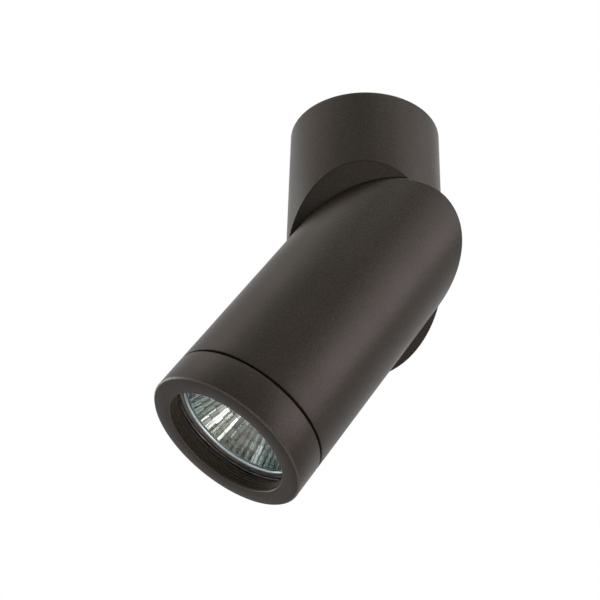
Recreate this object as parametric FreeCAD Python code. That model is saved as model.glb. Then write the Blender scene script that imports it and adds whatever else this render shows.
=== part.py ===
import FreeCAD, Part

import math
import os

from FreeCAD import Placement, Rotation, Vector

# Surface spotlight: a round base on the ceiling and a lamp head of the same diameter. Both are cut
# at 45 degrees, and the head turns on a hollow tube at right angles to the cut, so that one turn
# takes the beam from straight down to level. Lengths are in millimetres and angles in degrees.
# The origin is the centre of the ceiling face, with +Z up and the cut facing -Y.

# Overall
body_wall = 2.6
floor_thickness = 4.0
cut_angle = 45.0
swivel_angle = -46.3
lead_room = 11.0
wiring_room = 22.9
bezel_height = 14.4
face_gap = 1.1
ceiling_gap = 0.5
seam_gap = 0.5
edge_round = 0.4
overrun = 5.0
slide_fit = 0.05
loose_fit = 0.3

# Ceiling bracket
bracket_clearance = 0.4
bracket_plate = 2.5
bracket_rim_depth = 12.0
bracket_rim_wall = 3.4
grub_depth = 7.0
grub_radius = 2.0
grub_inset = 0.4
grub_bearing = 25.0
grub_groove_depth = 1.7
grub_tip_length = 1.2
grub_tip_radius = 1.2
grub_socket_flats = 2.0
grub_socket_depth = 2.0
slot_inset = 7.1
slot_width = 5.0
slot_length = 9.0
stop_tab_width = 4.0
stop_tab_drop = 4.0
stop_rib_width = 3.0
stop_rib_height = 2.6
stop_rib_length = 8.0

# Cable bush and earth screw of the bracket
bush_barrel_radius = 6.0
bush_bore_radius = 4.5
bush_flange_radius = 8.5
bush_flange_thickness = 1.5
bush_round = 0.4
earth_inset = 7.1
earth_screw_radius = 2.0
earth_head_radius = 3.6
earth_head_height = 2.4
earth_slot_width = 1.0
earth_slot_depth = 1.2
earth_cup_radius = 4.6
earth_cup_height = 1.6
earth_cup_sheet = 0.6

# Terminal block in the base
block_pole_pitch = 9.2
block_pole_width = 8.0
block_depth = 14.0
block_height = 17.0
block_spine_depth = 6.0
block_round = 1.0
block_top = 18.0
block_hole_radius = 2.35
block_screw_offset = 4.6
pad_thickness = 5.4
pad_width = 17.0
pad_height = 13.0
sleeve_bore_radius = 1.5
sleeve_length = 14.6
sleeve_round_radius = 2.3
clamp_screw_radius = 1.4
clamp_screw_well = 1.9
clamp_slot_width = 0.5
clamp_slot_depth = 0.8
fixing_screw_radius = 1.2
fixing_head_radius = 1.9
fixing_head_height = 1.6
fixing_screw_grip = 3.0

# Swivel
tube_radius = 6.5
tube_bore_radius = 4.5
tube_past_nut = 1.5
nut_flats = 17.0
nut_thickness = 5.0
nut_chamfer = 0.6
friction_washer_inset = 5.0
thrust_washer_radius = 12.5
thrust_washer_thickness = 1.0
spring_sheet = 0.6
spring_rise = 0.5
spring_radius = 10.5
stop_inset = 6.9
stop_pin_radius = 1.5
stop_pin_hold = 3.0
stop_pin_reach = 1.9
stop_groove_depth = 2.3
stop_groove_clearance = 0.2
stop_land = 20.0
tube_bush_flange = 1.0
tube_bush_length = 4.0
tube_bush_flange_radius = 6.2

# Leads
sheath_radius = 2.3
sheath_clearance = 0.15
wire_radius = 0.8
wire_spread = 1.05
bend_share = 0.45
base_sheath_turn = 19.8
base_sheath_rise = 7.0
base_wire_start = 2.0
base_wire_entry = 3.6
wire_insert = 3.0
head_sheath_tail = 1.5
head_wire_straight = 3.0
head_wire_low = 4.0
earth_wire_straight = 4.5

# Earth tag of the head
tag_reach = 4.7
tag_radius = 3.2
tag_sheet = 0.8
tag_nut_gap = 1.6
tag_barrel_radius = 1.5
tag_barrel_height = 4.5
tag_neck_width = 2.4
tag_screw_radius = 1.5
tag_screw_grip = 2.6
tag_head_radius = 2.8
tag_head_height = 1.8

# Lamp carrier
pillar_inset = 3.4
pillar_radius = 3.5
carrier_sheet = 1.2
carrier_disc_margin = 1.5
carrier_arm_width = 10.0
carrier_clearance = 0.5
holder_radius = 12.5
holder_length = 15.5
holder_flange_radius = 16.5
holder_flange_set = 6.5
holder_flange_thickness = 2.5
holder_screw_offset = 14.4
holder_cone = 1.0
pillar_screw_length = 9.0
m3_radius = 1.5
m3_head_radius = 2.7
m3_head_height = 1.8
m3_slot_width = 0.8
m3_slot_depth = 0.9
pin_pitch_radius = 5.0
pin_shank_radius = 1.3
pin_head_radius = 2.45
pin_head_length = 2.2
pin_length = 7.2
key_turn = 30.0
key_plate = 2.4
key_room = 1.1
key_slack = 0.35
contact_sheet = 0.5
contact_width = 2.6
lead_hole_radius = 1.1
lead_hole_offset = 4.0
lead_hole_set = 7.5
lead_hole_depth = 5.0

# Lamp
lamp_glass_gap = 1.7
lamp_radius = 25.35
lamp_rim = 2.2
lamp_length = 46.5
lamp_gap = 0.3
lamp_rim_width = 1.65
throat_radius = 6.5
reflector_depth = 27.5
reflector_glass = 1.6
neck_radius = 10.5
neck_end = 31.0
facet_count = 60
facet_tiers = 7
cover_thickness = 1.2
cover_set = 0.4
cover_lip = 0.6
cap_start = 26.0
cap_skirt_radius = 16.0
cap_end_radius = 14.0
cap_flat = 9.5
cap_flat_start = 34.0
capsule_radius = 4.6
capsule_tip = 9.0
capsule_base = 28.0
filament_radius = 0.9
filament_length = 5.0
filament_leg_radius = 0.3
capsule_wall = 1.0

# Bezel and front glass
mouth_margin = 0.5
lip_thickness = 1.7
lip_chamfer = 0.35
rib_bore_set = 0.75
rib_depth = 0.5
rib_pitch = 1.0
rib_count = 4
ledge_set = 6.0
glass_overlap = 1.55
spigot_wall = 1.65
glass_thickness = 3.0
glass_clearance = 0.2
glass_edge = 0.3
gasket_thickness = 0.8
gasket_width = 1.7
spigot_length = 8.0
spigot_clearance = 0.15
ring_radius = 0.6
ring_gap = 20.0
ring_groove_depth = 0.5
seal_radius = 0.7
bezel_round = 0.6

# Worked out from the sizes above
mouth_radius = lamp_radius - lamp_rim_width
bore_radius = mouth_radius + mouth_margin
rib_bore_radius = bore_radius + rib_bore_set
glass_radius = lamp_radius + glass_overlap
pocket_radius = glass_radius + glass_clearance
spigot_radius = pocket_radius + spigot_wall
bore_of_body = spigot_radius + spigot_clearance
body_radius = bore_of_body + body_wall
head_front = bezel_height + seam_gap
glass_front = ledge_set + gasket_thickness
glass_back = glass_front + glass_thickness
lamp_set_back = glass_back + lamp_glass_gap
bracket_radius = bore_of_body - bracket_clearance
bracket_inside = bracket_radius - bracket_rim_wall
slot_spacing = 2 * (bracket_inside - slot_inset)
earth_offset = bracket_inside - earth_inset
pad_face = bore_of_body - pad_thickness
stop_radius = bore_of_body - stop_inset
friction_washer_radius = stop_radius - friction_washer_inset
nut_corner = nut_flats / math.sqrt(3.0)
tag_barrel_offset = nut_corner + tag_nut_gap + tag_barrel_radius
tag_offset = tag_barrel_offset + tag_reach
pillar_offset = bore_of_body - pillar_inset
carrier_disc_radius = holder_flange_radius + carrier_disc_margin
sheath_climb = base_sheath_turn * math.cos(math.radians(cut_angle)) + base_sheath_rise
base_depth = block_top + block_height + lead_room + sheath_climb
holder_front = lamp_set_back + lamp_length + lamp_gap
carrier_front = holder_front + holder_flange_set + holder_flange_thickness
carrier_back = carrier_front + carrier_sheet
head_reach = holder_front + holder_length + wiring_room
head_floor_side = face_gap + floor_thickness
nut_start_base = floor_thickness + thrust_washer_thickness + slide_fit + 2 * (spring_sheet + spring_rise)
tube_start = nut_start_base + nut_thickness + tube_past_nut
tube_end = head_floor_side + nut_thickness + tube_past_nut

ORIGIN = Vector(0, 0, 0)
X_AXIS = Vector(1, 0, 0)
Y_AXIS = Vector(0, 1, 0)
Z_AXIS = Vector(0, 0, 1)
FULL_TURN = 360.0

cut_centre = Vector(0, 0, -base_depth)
cut_normal = Rotation(X_AXIS, 180.0 - cut_angle).multVec(Z_AXIS)

# The swivel frame has its origin at the middle of the base's cut face and +Z along the turning axis,
# out of the base. The head frame is the base's, moved to the head's cut face and turned with it.
swivel_frame = Placement(cut_centre, Rotation(X_AXIS, 180.0 - cut_angle))
head_frame = Placement(cut_centre + cut_normal * face_gap, Rotation(cut_normal, swivel_angle))
head_swivel_frame = head_frame.multiply(Placement(ORIGIN, Rotation(X_AXIS, 180.0 - cut_angle)))
# The lamp frame has its origin at the middle of the bezel's front face and +Z into the lamp.
lamp_frame = head_frame.multiply(Placement(Vector(0, 0, -head_reach), Rotation()))


def placed(shape, frame):
    """A copy of the shape, moved from its own frame into the object's."""
    moved = shape.copy()
    moved.Placement = frame.multiply(moved.Placement)
    return moved


def turned(corners):
    """A solid of revolution about Z from its section's (radius, height) corners."""
    points = [Vector(r, 0, z) for r, z in corners]
    return Part.Face(Part.makePolygon(points + points[:1])).revolve(ORIGIN, Z_AXIS, FULL_TURN)


def rod(radius, low, high, x=0.0, y=0.0):
    """A cylinder along Z between two heights."""
    return Part.makeCylinder(radius, high - low, Vector(x, y, low), Z_AXIS)


def ring(outer, inner, low, high):
    """A flat ring or a short tube along Z."""
    return turned([(inner, low), (outer, low), (outer, high), (inner, high)])


def block(x_size, y_size, low, high, x=0.0, y=0.0):
    """A box along Z, centred on x and y."""
    return Part.makeBox(x_size, y_size, high - low, Vector(x - x_size / 2, y - y_size / 2, low))


def hexagon(flats, low, high):
    """A hexagonal prism along Z."""
    corner = flats / 2 / math.cos(math.radians(30.0))
    points = [Vector(corner * math.cos(math.radians(a)), corner * math.sin(math.radians(a)), low)
              for a in range(0, 360, 60)]
    return Part.Face(Part.makePolygon(points + points[:1])).extrude(Vector(0, 0, high - low))


def arc_slot(pitch_radius, half_width, middle, sweep, low, high):
    """A slot bent round Z, with round ends, centred on the angle named middle."""
    section = [Vector(pitch_radius - half_width, 0, low), Vector(pitch_radius + half_width, 0, low),
               Vector(pitch_radius + half_width, 0, high), Vector(pitch_radius - half_width, 0, high)]
    slot = Part.Face(Part.makePolygon(section + section[:1])).revolve(ORIGIN, Z_AXIS, sweep)
    slot.rotate(ORIGIN, Z_AXIS, middle - sweep / 2)
    for side in (-1, 1):
        angle = math.radians(middle + side * sweep / 2)
        end = rod(half_width, low, high, pitch_radius * math.cos(angle), pitch_radius * math.sin(angle))
        slot = slot.fuse(end)
    return slot.removeSplitter()


def far_side(offset):
    """A block that holds everything past a plane parallel to the cut, in the swivel frame."""
    return block(4 * body_radius, 6 * body_radius, offset, offset + 4 * body_radius)


def near_side(offset):
    """A block that holds everything short of a plane parallel to the cut, in the swivel frame."""
    return block(4 * body_radius, 6 * body_radius, offset - 4 * body_radius, offset)


def rounded(shape, radius, chosen):
    """The shape with a fillet on each edge whose points all meet the test."""
    edges = [e for e in shape.Edges if e.Length > radius and all(chosen(p) for p in e.discretize(9))]
    return shape.makeFillet(radius, edges)


def lead(points, radius):
    """A round lead along straight runs, joined by arcs as large as the runs allow."""
    edges = []
    start = points[0]
    for before, corner, after in zip(points, points[1:], points[2:]):
        back = (before - corner).normalize()
        ahead = (after - corner).normalize()
        half_turn = (math.pi - back.getAngle(ahead)) / 2
        tangent = bend_share * min((before - corner).Length, (after - corner).Length)
        bend = tangent / math.tan(half_turn)
        into = corner + back * tangent
        out_of = corner + ahead * tangent
        bisector = (back + ahead).normalize()
        crown = corner + bisector * (bend / math.cos(half_turn) - bend)
        edges.append(Part.LineSegment(start, into).toShape())
        edges.append(Part.Arc(into, crown, out_of).toShape())
        start = out_of
    edges.append(Part.LineSegment(start, points[-1]).toShape())
    circle = Part.Wire([Part.Circle(points[0], points[1] - points[0], radius).toShape()])
    return Part.Wire(edges).makePipeShell([circle], True, False)


def slotted_screw(radius, head_radius, head_height, length, slot_width, slot_depth):
    """A cheese-head screw with its head above Z = 0 and its shank below."""
    body = turned([(0, -length), (radius, -length), (radius, 0), (head_radius, 0),
                   (head_radius, head_height), (0, head_height)])
    return body.cut(block(4 * head_radius, slot_width, head_height - slot_depth, head_height + overrun))


# Ceiling bracket

def ceiling_bracket():
    groove_half = grub_radius + loose_fit
    groove_floor = bracket_radius - grub_groove_depth
    body = turned([
        (0, 0), (bracket_radius, 0), (bracket_radius, groove_half - grub_depth),
        (groove_floor, groove_half - grub_depth), (groove_floor, -groove_half - grub_depth),
        (bracket_radius, -groove_half - grub_depth), (bracket_radius, -bracket_rim_depth),
        (bracket_inside, -bracket_rim_depth), (bracket_inside, -bracket_plate), (0, -bracket_plate)])
    tab = ring(bracket_radius, bracket_inside, -bracket_rim_depth - stop_tab_drop, -bracket_rim_depth)
    tab = tab.common(block(stop_tab_width, body_radius, -bracket_rim_depth - stop_tab_drop,
                           -bracket_rim_depth, 0, body_radius))
    body = body.fuse(tab)
    for side in (-1, 1):
        middle = side * slot_spacing / 2
        straight = slot_length - slot_width
        slot = block(straight, slot_width, -bracket_plate - overrun, overrun, middle)
        for end in (-1, 1):
            slot = slot.fuse(rod(slot_width / 2, -bracket_plate - overrun, overrun,
                                 middle + end * straight / 2))
        body = body.cut(slot)
    body = body.cut(rod(bush_barrel_radius + slide_fit, -bracket_plate - overrun, overrun))
    body = body.cut(rod(earth_screw_radius + slide_fit, -bracket_plate - overrun, overrun, 0, -earth_offset))
    return body.removeSplitter()


def cable_bush():
    low = -bracket_plate - bush_flange_thickness
    return turned([
        (bush_bore_radius, 0), (bush_barrel_radius, 0), (bush_barrel_radius, -bracket_plate),
        (bush_flange_radius, -bracket_plate), (bush_flange_radius, low + bush_round),
        (bush_flange_radius - bush_round, low), (bush_bore_radius + bush_round, low),
        (bush_bore_radius, low + bush_round)])


def earth_screw():
    screw = slotted_screw(earth_screw_radius, earth_head_radius, earth_head_height,
                          earth_cup_height + bracket_plate, earth_slot_width, earth_slot_depth)
    screw.rotate(ORIGIN, X_AXIS, 180.0)
    screw.translate(Vector(0, -earth_offset, -bracket_plate - earth_cup_height))
    return screw


def earth_washer():
    low = -bracket_plate - earth_cup_height
    hole = earth_screw_radius + slide_fit
    cup = turned([
        (hole, low), (earth_cup_radius, low), (earth_cup_radius, -bracket_plate),
        (earth_cup_radius - earth_cup_sheet, -bracket_plate),
        (earth_cup_radius - earth_cup_sheet, low + earth_cup_sheet), (hole, low + earth_cup_sheet)])
    cup.translate(Vector(0, -earth_offset, 0))
    return cup


# Base

def grub_direction(side):
    """Which way a grub screw faces: to one side, and back past the middle."""
    bearing = math.radians(grub_bearing)
    return Vector(side * math.cos(bearing), math.sin(bearing), 0)


def base_housing():
    lowest = -base_depth - 2 * body_radius
    shell = rod(body_radius, lowest, -ceiling_gap).cut(placed(far_side(0), swivel_frame))
    on_cut = lambda p: abs((p - cut_centre).dot(cut_normal)) < slide_fit
    on_top = lambda p: abs(p.z + ceiling_gap) < slide_fit
    shell = rounded(shell, edge_round, lambda p: on_cut(p) or on_top(p))
    room = rod(bore_of_body, lowest, overrun).cut(placed(far_side(-floor_thickness), swivel_frame))
    pad_middle = -block_top - block_height / 2
    pad = block(pad_width, bore_of_body, pad_middle - pad_height / 2, pad_middle + pad_height / 2,
                0, pad_face + bore_of_body / 2)
    rib_top = -bracket_rim_depth - loose_fit
    rib = block(stop_rib_width, bore_of_body, rib_top - stop_rib_length, rib_top,
                0, stop_rib_height - bore_of_body - bore_of_body / 2)
    shell = shell.cut(room.cut(pad).cut(rib))
    for side in (-1, 1):
        facing = grub_direction(side)
        hole = Part.makeCylinder(grub_radius + slide_fit, body_wall + 2 * overrun,
                                 facing * (bore_of_body - overrun) - Z_AXIS * grub_depth, facing)
        shell = shell.cut(hole)
        fixing = Part.makeCylinder(fixing_screw_radius + slide_fit, fixing_screw_grip + slide_fit + overrun,
                                   Vector(side * block_screw_offset, pad_face - overrun, pad_middle), Y_AXIS)
        shell = shell.cut(fixing)
    through = rod(tube_radius + slide_fit, -floor_thickness - overrun, overrun)
    pin_hole = rod(stop_pin_radius, -stop_pin_hold, overrun, 0, stop_radius)
    return shell.cut(placed(through.fuse(pin_hole), swivel_frame)).removeSplitter()


def grub_screws():
    outer = body_radius - grub_inset
    tip = bracket_radius - grub_groove_depth + loose_fit
    length = outer - tip
    screw = turned([(0, 0), (grub_radius, 0), (grub_radius, length - grub_tip_length),
                    (grub_tip_radius, length), (0, length)])
    screw = screw.cut(hexagon(grub_socket_flats, -overrun, grub_socket_depth))
    both = []
    for side in (-1, 1):
        facing = grub_direction(side)
        seat = Placement(facing * outer - Z_AXIS * grub_depth, Rotation(Z_AXIS, -facing))
        both.append(placed(screw, seat))
    return Part.makeCompound(both)


def pole_places():
    return [n * block_pole_pitch for n in (-1, 0, 1)]


def clamp_places():
    """Heights of the two clamping screws of each pole."""
    middle = -block_top - block_height / 2
    return [middle - block_height / 4, middle + block_height / 4]


block_front = pad_face - block_depth
block_middle = pad_face - block_depth / 2
block_bottom = -block_top - block_height


def terminal_block():
    body = block(2 * block_pole_pitch, block_spine_depth, block_bottom, -block_top,
                 0, pad_face - block_spine_depth / 2)
    for x in pole_places():
        pole = block(block_pole_width, block_depth, block_bottom, -block_top, x, block_middle)
        upright = lambda p, x=x: abs(abs(p.x - x) - block_pole_width / 2) < slide_fit and p.y < block_middle
        body = body.fuse(rounded(pole, block_round, upright))
    for x in pole_places():
        body = body.cut(rod(block_hole_radius, block_bottom - overrun, overrun - block_top, x, block_middle))
        for z in clamp_places():
            well = Part.makeCylinder(clamp_screw_well, block_depth / 2,
                                     Vector(x, block_front - slide_fit, z), Y_AXIS)
            body = body.cut(well)
    for side in (-1, 1):
        middle = Vector(side * block_screw_offset, block_front - overrun, (block_bottom - block_top) / 2)
        hole = Part.makeCylinder(fixing_screw_radius + slide_fit, block_depth + 2 * overrun, middle, Y_AXIS)
        well = Part.makeCylinder(fixing_head_radius + slide_fit, block_depth - block_spine_depth + overrun,
                                 middle, Y_AXIS)
        body = body.cut(hole).cut(well)
    return body.removeSplitter()


def terminal_sleeves():
    middle = -block_top - block_height / 2
    sleeves = []
    for x in pole_places():
        sleeve = ring(sleeve_round_radius, sleeve_bore_radius, middle - sleeve_length / 2,
                      middle + sleeve_length / 2)
        sleeve.translate(Vector(x, block_middle, 0))
        sleeves.append(sleeve)
    return Part.makeCompound(sleeves)


def clamp_screws():
    """Two slotted screws to each pole, down on their brass sleeve."""
    length = block_depth / 2 - sleeve_round_radius - slide_fit - clamp_screw_well / 2
    screws = []
    for x in pole_places():
        for z in clamp_places():
            start = Vector(x, block_middle - sleeve_round_radius - slide_fit, z)
            screw = Part.makeCylinder(clamp_screw_radius, length, start, -Y_AXIS)
            top = start.y - length
            slot = Part.makeBox(4 * clamp_screw_radius, clamp_slot_depth + overrun, clamp_slot_width,
                                Vector(x - 2 * clamp_screw_radius, top - overrun, z - clamp_slot_width / 2))
            screws.append(screw.cut(slot))
    return Part.makeCompound(screws)


def block_screws():
    screws = []
    grip = block_spine_depth + fixing_screw_grip
    for side in (-1, 1):
        screw = slotted_screw(fixing_screw_radius, fixing_head_radius, fixing_head_height, grip,
                              clamp_slot_width, clamp_slot_depth)
        screw.rotate(ORIGIN, X_AXIS, 90.0)
        screw.translate(Vector(side * block_screw_offset, pad_face - block_spine_depth,
                               (block_bottom - block_top) / 2))
        screws.append(screw)
    return Part.makeCompound(screws)


# Swivel

def swivel_tube():
    tube = ring(tube_radius, tube_bore_radius, -tube_start, tube_end)
    return placed(tube, swivel_frame)


def swivel_nut(start):
    """A hexagon nut on the tube, chamfered on its outer side."""
    nut = hexagon(nut_flats, start, start + nut_thickness)
    cone = turned([(0, start), (nut_corner + overrun, start),
                   (nut_corner + overrun, start + nut_thickness - nut_chamfer),
                   (nut_flats / 2, start + nut_thickness), (0, start + nut_thickness)])
    return nut.common(cone).cut(rod(tube_radius, start - overrun, start + nut_thickness + overrun))


def base_nut():
    turned_over = Placement(ORIGIN, Rotation(X_AXIS, 180.0))
    return placed(swivel_nut(nut_start_base), swivel_frame.multiply(turned_over))


def head_nut():
    return placed(swivel_nut(head_floor_side), swivel_frame)


def thrust_washer():
    top = -floor_thickness - slide_fit
    return placed(ring(thrust_washer_radius, tube_radius, top - thrust_washer_thickness, top), swivel_frame)


def disc_springs():
    """Two cone springs, point to point, between the thrust washer and the nut."""
    low = -nut_start_base
    high = -floor_thickness - slide_fit - thrust_washer_thickness
    first = turned([(tube_radius, low + spring_rise), (spring_radius, low),
                    (spring_radius, low + spring_sheet), (tube_radius, low + spring_rise + spring_sheet)])
    second = turned([(tube_radius, high - spring_rise), (spring_radius, high),
                     (spring_radius, high - spring_sheet), (tube_radius, high - spring_rise - spring_sheet)])
    return placed(Part.makeCompound([first, second]), swivel_frame)


def friction_washer():
    washer = ring(friction_washer_radius, tube_radius + slide_fit, 0, face_gap - slide_fit)
    return placed(washer, swivel_frame)


def stop_pin():
    pin = rod(stop_pin_radius, -stop_pin_hold, face_gap + stop_pin_reach, 0, stop_radius)
    return placed(pin, swivel_frame)


def tube_bushes():
    """A flanged bush in each end of the tube, where the leads run in and out."""
    bore = sheath_radius + sheath_clearance
    bushes = []
    for end, side in ((tube_end, 1), (-tube_start, -1)):
        bush = turned([(bore, end - side * tube_bush_length),
                       (tube_bore_radius, end - side * tube_bush_length),
                       (tube_bore_radius, end), (tube_bush_flange_radius, end),
                       (tube_bush_flange_radius, end + side * tube_bush_flange),
                       (bore, end + side * tube_bush_flange)])
        bushes.append(bush)
    return placed(Part.makeCompound(bushes), swivel_frame)


# Leads

def in_swivel(x, y, z):
    return swivel_frame.multVec(Vector(x, y, z))


def in_lamp(x, y, z):
    return lamp_frame.multVec(Vector(x, y, z))


def base_sheath():
    turn = in_swivel(0, 0, -base_sheath_turn)
    return lead([in_swivel(0, 0, 0), turn, turn + Z_AXIS * base_sheath_rise], sheath_radius)


def wire_places():
    """Where the three wires leave a sheath's end, as offsets from its middle."""
    return [Vector(wire_spread * math.cos(math.radians(a)), wire_spread * math.sin(math.radians(a)), 0)
            for a in (210.0, 90.0, 330.0)]


def base_wires():
    top = in_swivel(0, 0, -base_sheath_turn) + Z_AXIS * base_sheath_rise
    wires = []
    for x, offset in zip(pole_places(), wire_places()):
        start = top + offset
        points = [start, start + Z_AXIS * base_wire_start,
                  Vector(x, block_middle, block_bottom - base_wire_entry),
                  Vector(x, block_middle, block_bottom + wire_insert)]
        wires.append(lead(points, wire_radius))
    return Part.makeCompound(wires)


head_sheath_end = tube_end + tube_bush_flange + head_sheath_tail


def head_sheath():
    return placed(rod(sheath_radius, 0, head_sheath_end), swivel_frame)


def head_wire_start(place):
    """The start of one wire on the sheath's end, in the head's own swivel frame."""
    return head_swivel_frame.multVec(place + Vector(0, 0, head_sheath_end - face_gap))


def head_wires():
    along = head_swivel_frame.Rotation.multVec(Z_AXIS)
    live, earth, neutral = wire_places()
    wires = []
    for side, place in ((-1, live), (1, neutral)):
        start = head_wire_start(place)
        back = holder_front + holder_length
        points = [start, start + along * head_wire_straight,
                  in_lamp(side * lead_hole_offset, -lead_hole_set, back + head_wire_low),
                  in_lamp(side * lead_hole_offset, -lead_hole_set, back - wire_insert)]
        wires.append(lead(points, wire_radius))
    return Part.makeCompound(wires)


def earth_wire():
    start = head_wire_start(wire_places()[1])
    top = head_sheath_end - face_gap + earth_wire_straight
    barrel_top = floor_thickness + tag_sheet + tag_barrel_height
    points = [start, head_swivel_frame.multVec(Vector(0, wire_spread, top)),
              head_swivel_frame.multVec(Vector(0, tag_barrel_offset, top)),
              head_swivel_frame.multVec(Vector(0, tag_barrel_offset, barrel_top))]
    return lead(points, wire_radius)


def earth_tag():
    low = floor_thickness
    high = low + tag_sheet
    tag = rod(tag_radius, low, high, 0, tag_offset)
    tag = tag.fuse(block(tag_neck_width, tag_offset - tag_barrel_offset, low, high, 0,
                         (tag_offset + tag_barrel_offset) / 2))
    tag = tag.fuse(rod(tag_barrel_radius, low, high + tag_barrel_height, 0, tag_barrel_offset))
    tag = tag.cut(rod(tag_screw_radius + slide_fit, low - overrun, high + overrun, 0, tag_offset))
    return placed(tag.removeSplitter(), head_swivel_frame)


def tag_screw():
    screw = slotted_screw(tag_screw_radius, tag_head_radius, tag_head_height, tag_sheet + tag_screw_grip,
                          m3_slot_width, m3_slot_depth)
    screw.translate(Vector(0, tag_offset, floor_thickness + tag_sheet))
    return placed(screw, head_swivel_frame)


# Head

def head_housing():
    highest = head_reach + 2 * body_radius
    to_swivel = lamp_frame.inverse().multiply(head_swivel_frame)
    cut_away = placed(near_side(0), to_swivel)
    shell = rod(body_radius, head_front, highest).cut(cut_away)
    face_middle = Vector(0, 0, head_reach)
    local_normal = to_swivel.Rotation.multVec(Z_AXIS)
    on_cut = lambda p: abs((p - face_middle).dot(local_normal)) < slide_fit
    on_front = lambda p: abs(p.z - head_front) < slide_fit
    shell = rounded(shell, edge_round, lambda p: on_cut(p) or on_front(p))
    room = rod(bore_of_body, head_front - overrun, highest)
    room = room.cut(placed(near_side(floor_thickness), to_swivel))
    for side in (-1, 1):
        room = room.cut(rod(pillar_radius, carrier_back, highest, side * pillar_offset))
    shell = shell.cut(room)
    for side in (-1, 1):
        depth = carrier_front + pillar_screw_length + slide_fit
        shell = shell.cut(rod(m3_radius + slide_fit, carrier_front, depth, side * pillar_offset))
    through = rod(tube_radius, -overrun, floor_thickness + overrun)
    groove = arc_slot(stop_radius, stop_pin_radius + stop_groove_clearance, 90.0, FULL_TURN - stop_land,
                      -overrun, stop_groove_depth)
    tag_hole = rod(tag_screw_radius + slide_fit, floor_thickness - tag_screw_grip - slide_fit,
                   floor_thickness + overrun, 0, tag_offset)
    cuts = placed(Part.makeCompound([through, groove, tag_hole]), to_swivel)
    for cutter in cuts.Solids:
        shell = shell.cut(cutter)
    return placed(shell.removeSplitter(), lamp_frame)


def lamp_carrier():
    plate = rod(carrier_disc_radius, carrier_front, carrier_back)
    plate = plate.fuse(block(2 * body_radius, carrier_arm_width, carrier_front, carrier_back))
    plate = plate.common(rod(bore_of_body - carrier_clearance, carrier_front, carrier_back))
    plate = plate.cut(rod(holder_radius + carrier_clearance, carrier_front - overrun,
                          carrier_back + overrun))
    for side in (-1, 1):
        for offset, x in ((pillar_offset, side), (holder_screw_offset, side)):
            hole = rod(m3_radius + slide_fit, carrier_front - overrun, carrier_back + overrun, 0, 0)
            spot = Vector(x * offset, 0, 0) if offset == pillar_offset else Vector(0, x * offset, 0)
            hole.translate(spot)
            plate = plate.cut(hole)
    return placed(plate.removeSplitter(), lamp_frame)


def front_screw(length):
    """A slotted screw with its head towards the lamp's front, seated on Z = 0."""
    screw = slotted_screw(m3_radius, m3_head_radius, m3_head_height, length, m3_slot_width, m3_slot_depth)
    screw.rotate(ORIGIN, X_AXIS, 180.0)
    return screw


def carrier_screws():
    screws = []
    for side in (-1, 1):
        screw = front_screw(pillar_screw_length)
        screw.translate(Vector(side * pillar_offset, 0, carrier_front))
        screws.append(screw)
    return placed(Part.makeCompound(screws), lamp_frame)


def holder_screws():
    screws = []
    for side in (-1, 1):
        screw = front_screw(holder_flange_thickness + 2 * carrier_sheet)
        screw.translate(Vector(0, side * holder_screw_offset, carrier_front - holder_flange_thickness))
        screws.append(screw)
    return placed(Part.makeCompound(screws), lamp_frame)


def lampholder():
    back = holder_front + holder_length
    body = turned([(0, holder_front), (holder_radius, holder_front),
                   (holder_radius, holder_front + holder_flange_set),
                   (holder_flange_radius, holder_front + holder_flange_set),
                   (holder_flange_radius, carrier_front),
                   (holder_radius, carrier_front), (holder_radius, back - holder_cone),
                   (holder_radius - holder_cone, back), (0, back)])
    plate_back = holder_front + key_plate
    chamber_back = holder_front - lamp_gap + pin_length + key_room
    for middle in (0.0, 180.0):
        slot_middle = middle + key_turn / 2
        body = body.cut(arc_slot(pin_pitch_radius, pin_shank_radius + key_slack, slot_middle, key_turn,
                                 holder_front - overrun, plate_back + overrun))
        body = body.cut(arc_slot(pin_pitch_radius, pin_head_radius + key_slack, slot_middle, key_turn,
                                 plate_back, chamber_back))
        angle = math.radians(middle + key_turn)
        body = body.cut(rod(pin_head_radius + key_slack, holder_front - overrun, chamber_back,
                            pin_pitch_radius * math.cos(angle), pin_pitch_radius * math.sin(angle)))
    for side in (-1, 1):
        body = body.cut(rod(lead_hole_radius, back - lead_hole_depth, back + overrun,
                            side * lead_hole_offset, -lead_hole_set))
        body = body.cut(rod(m3_radius + slide_fit, holder_front, carrier_back,
                            0, side * holder_screw_offset))
        body = body.cut(rod(m3_head_radius + slide_fit, holder_front - overrun,
                            holder_front + holder_flange_set, 0, side * holder_screw_offset))
    return placed(body.removeSplitter(), lamp_frame)


def lamp_contacts():
    """A flat spring contact on the end of each lamp pin."""
    low = holder_front - lamp_gap + pin_length
    strips = []
    for side in (-1, 1):
        strips.append(block(contact_width, 2 * pin_head_radius, low, low + contact_sheet,
                            side * pin_pitch_radius, 0))
    return placed(Part.makeCompound(strips), lamp_frame)


# Lamp

def reflector_radius(share):
    """The reflector's inner radius at a share of its depth, on a parabola."""
    span = mouth_radius * mouth_radius - throat_radius * throat_radius
    return math.sqrt(throat_radius * throat_radius + span * (1 - share))


def tier_height(share):
    seat = cover_set + cover_thickness
    return lamp_set_back + seat + (reflector_depth - seat) * share


def facet_bowl():
    """The space inside the reflector: flat mirror facets in even tiers, joined edge to edge."""
    sections = []
    for tier in range(facet_tiers + 1):
        share = tier / facet_tiers
        radius = reflector_radius(share)
        corners = []
        for n in range(facet_count):
            angle = 2 * math.pi * n / facet_count
            corners.append(Vector(radius * math.cos(angle), radius * math.sin(angle), tier_height(share)))
        sections.append(Part.makePolygon(corners + corners[:1]))
    return Part.makeLoft(sections, True, True)


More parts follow.
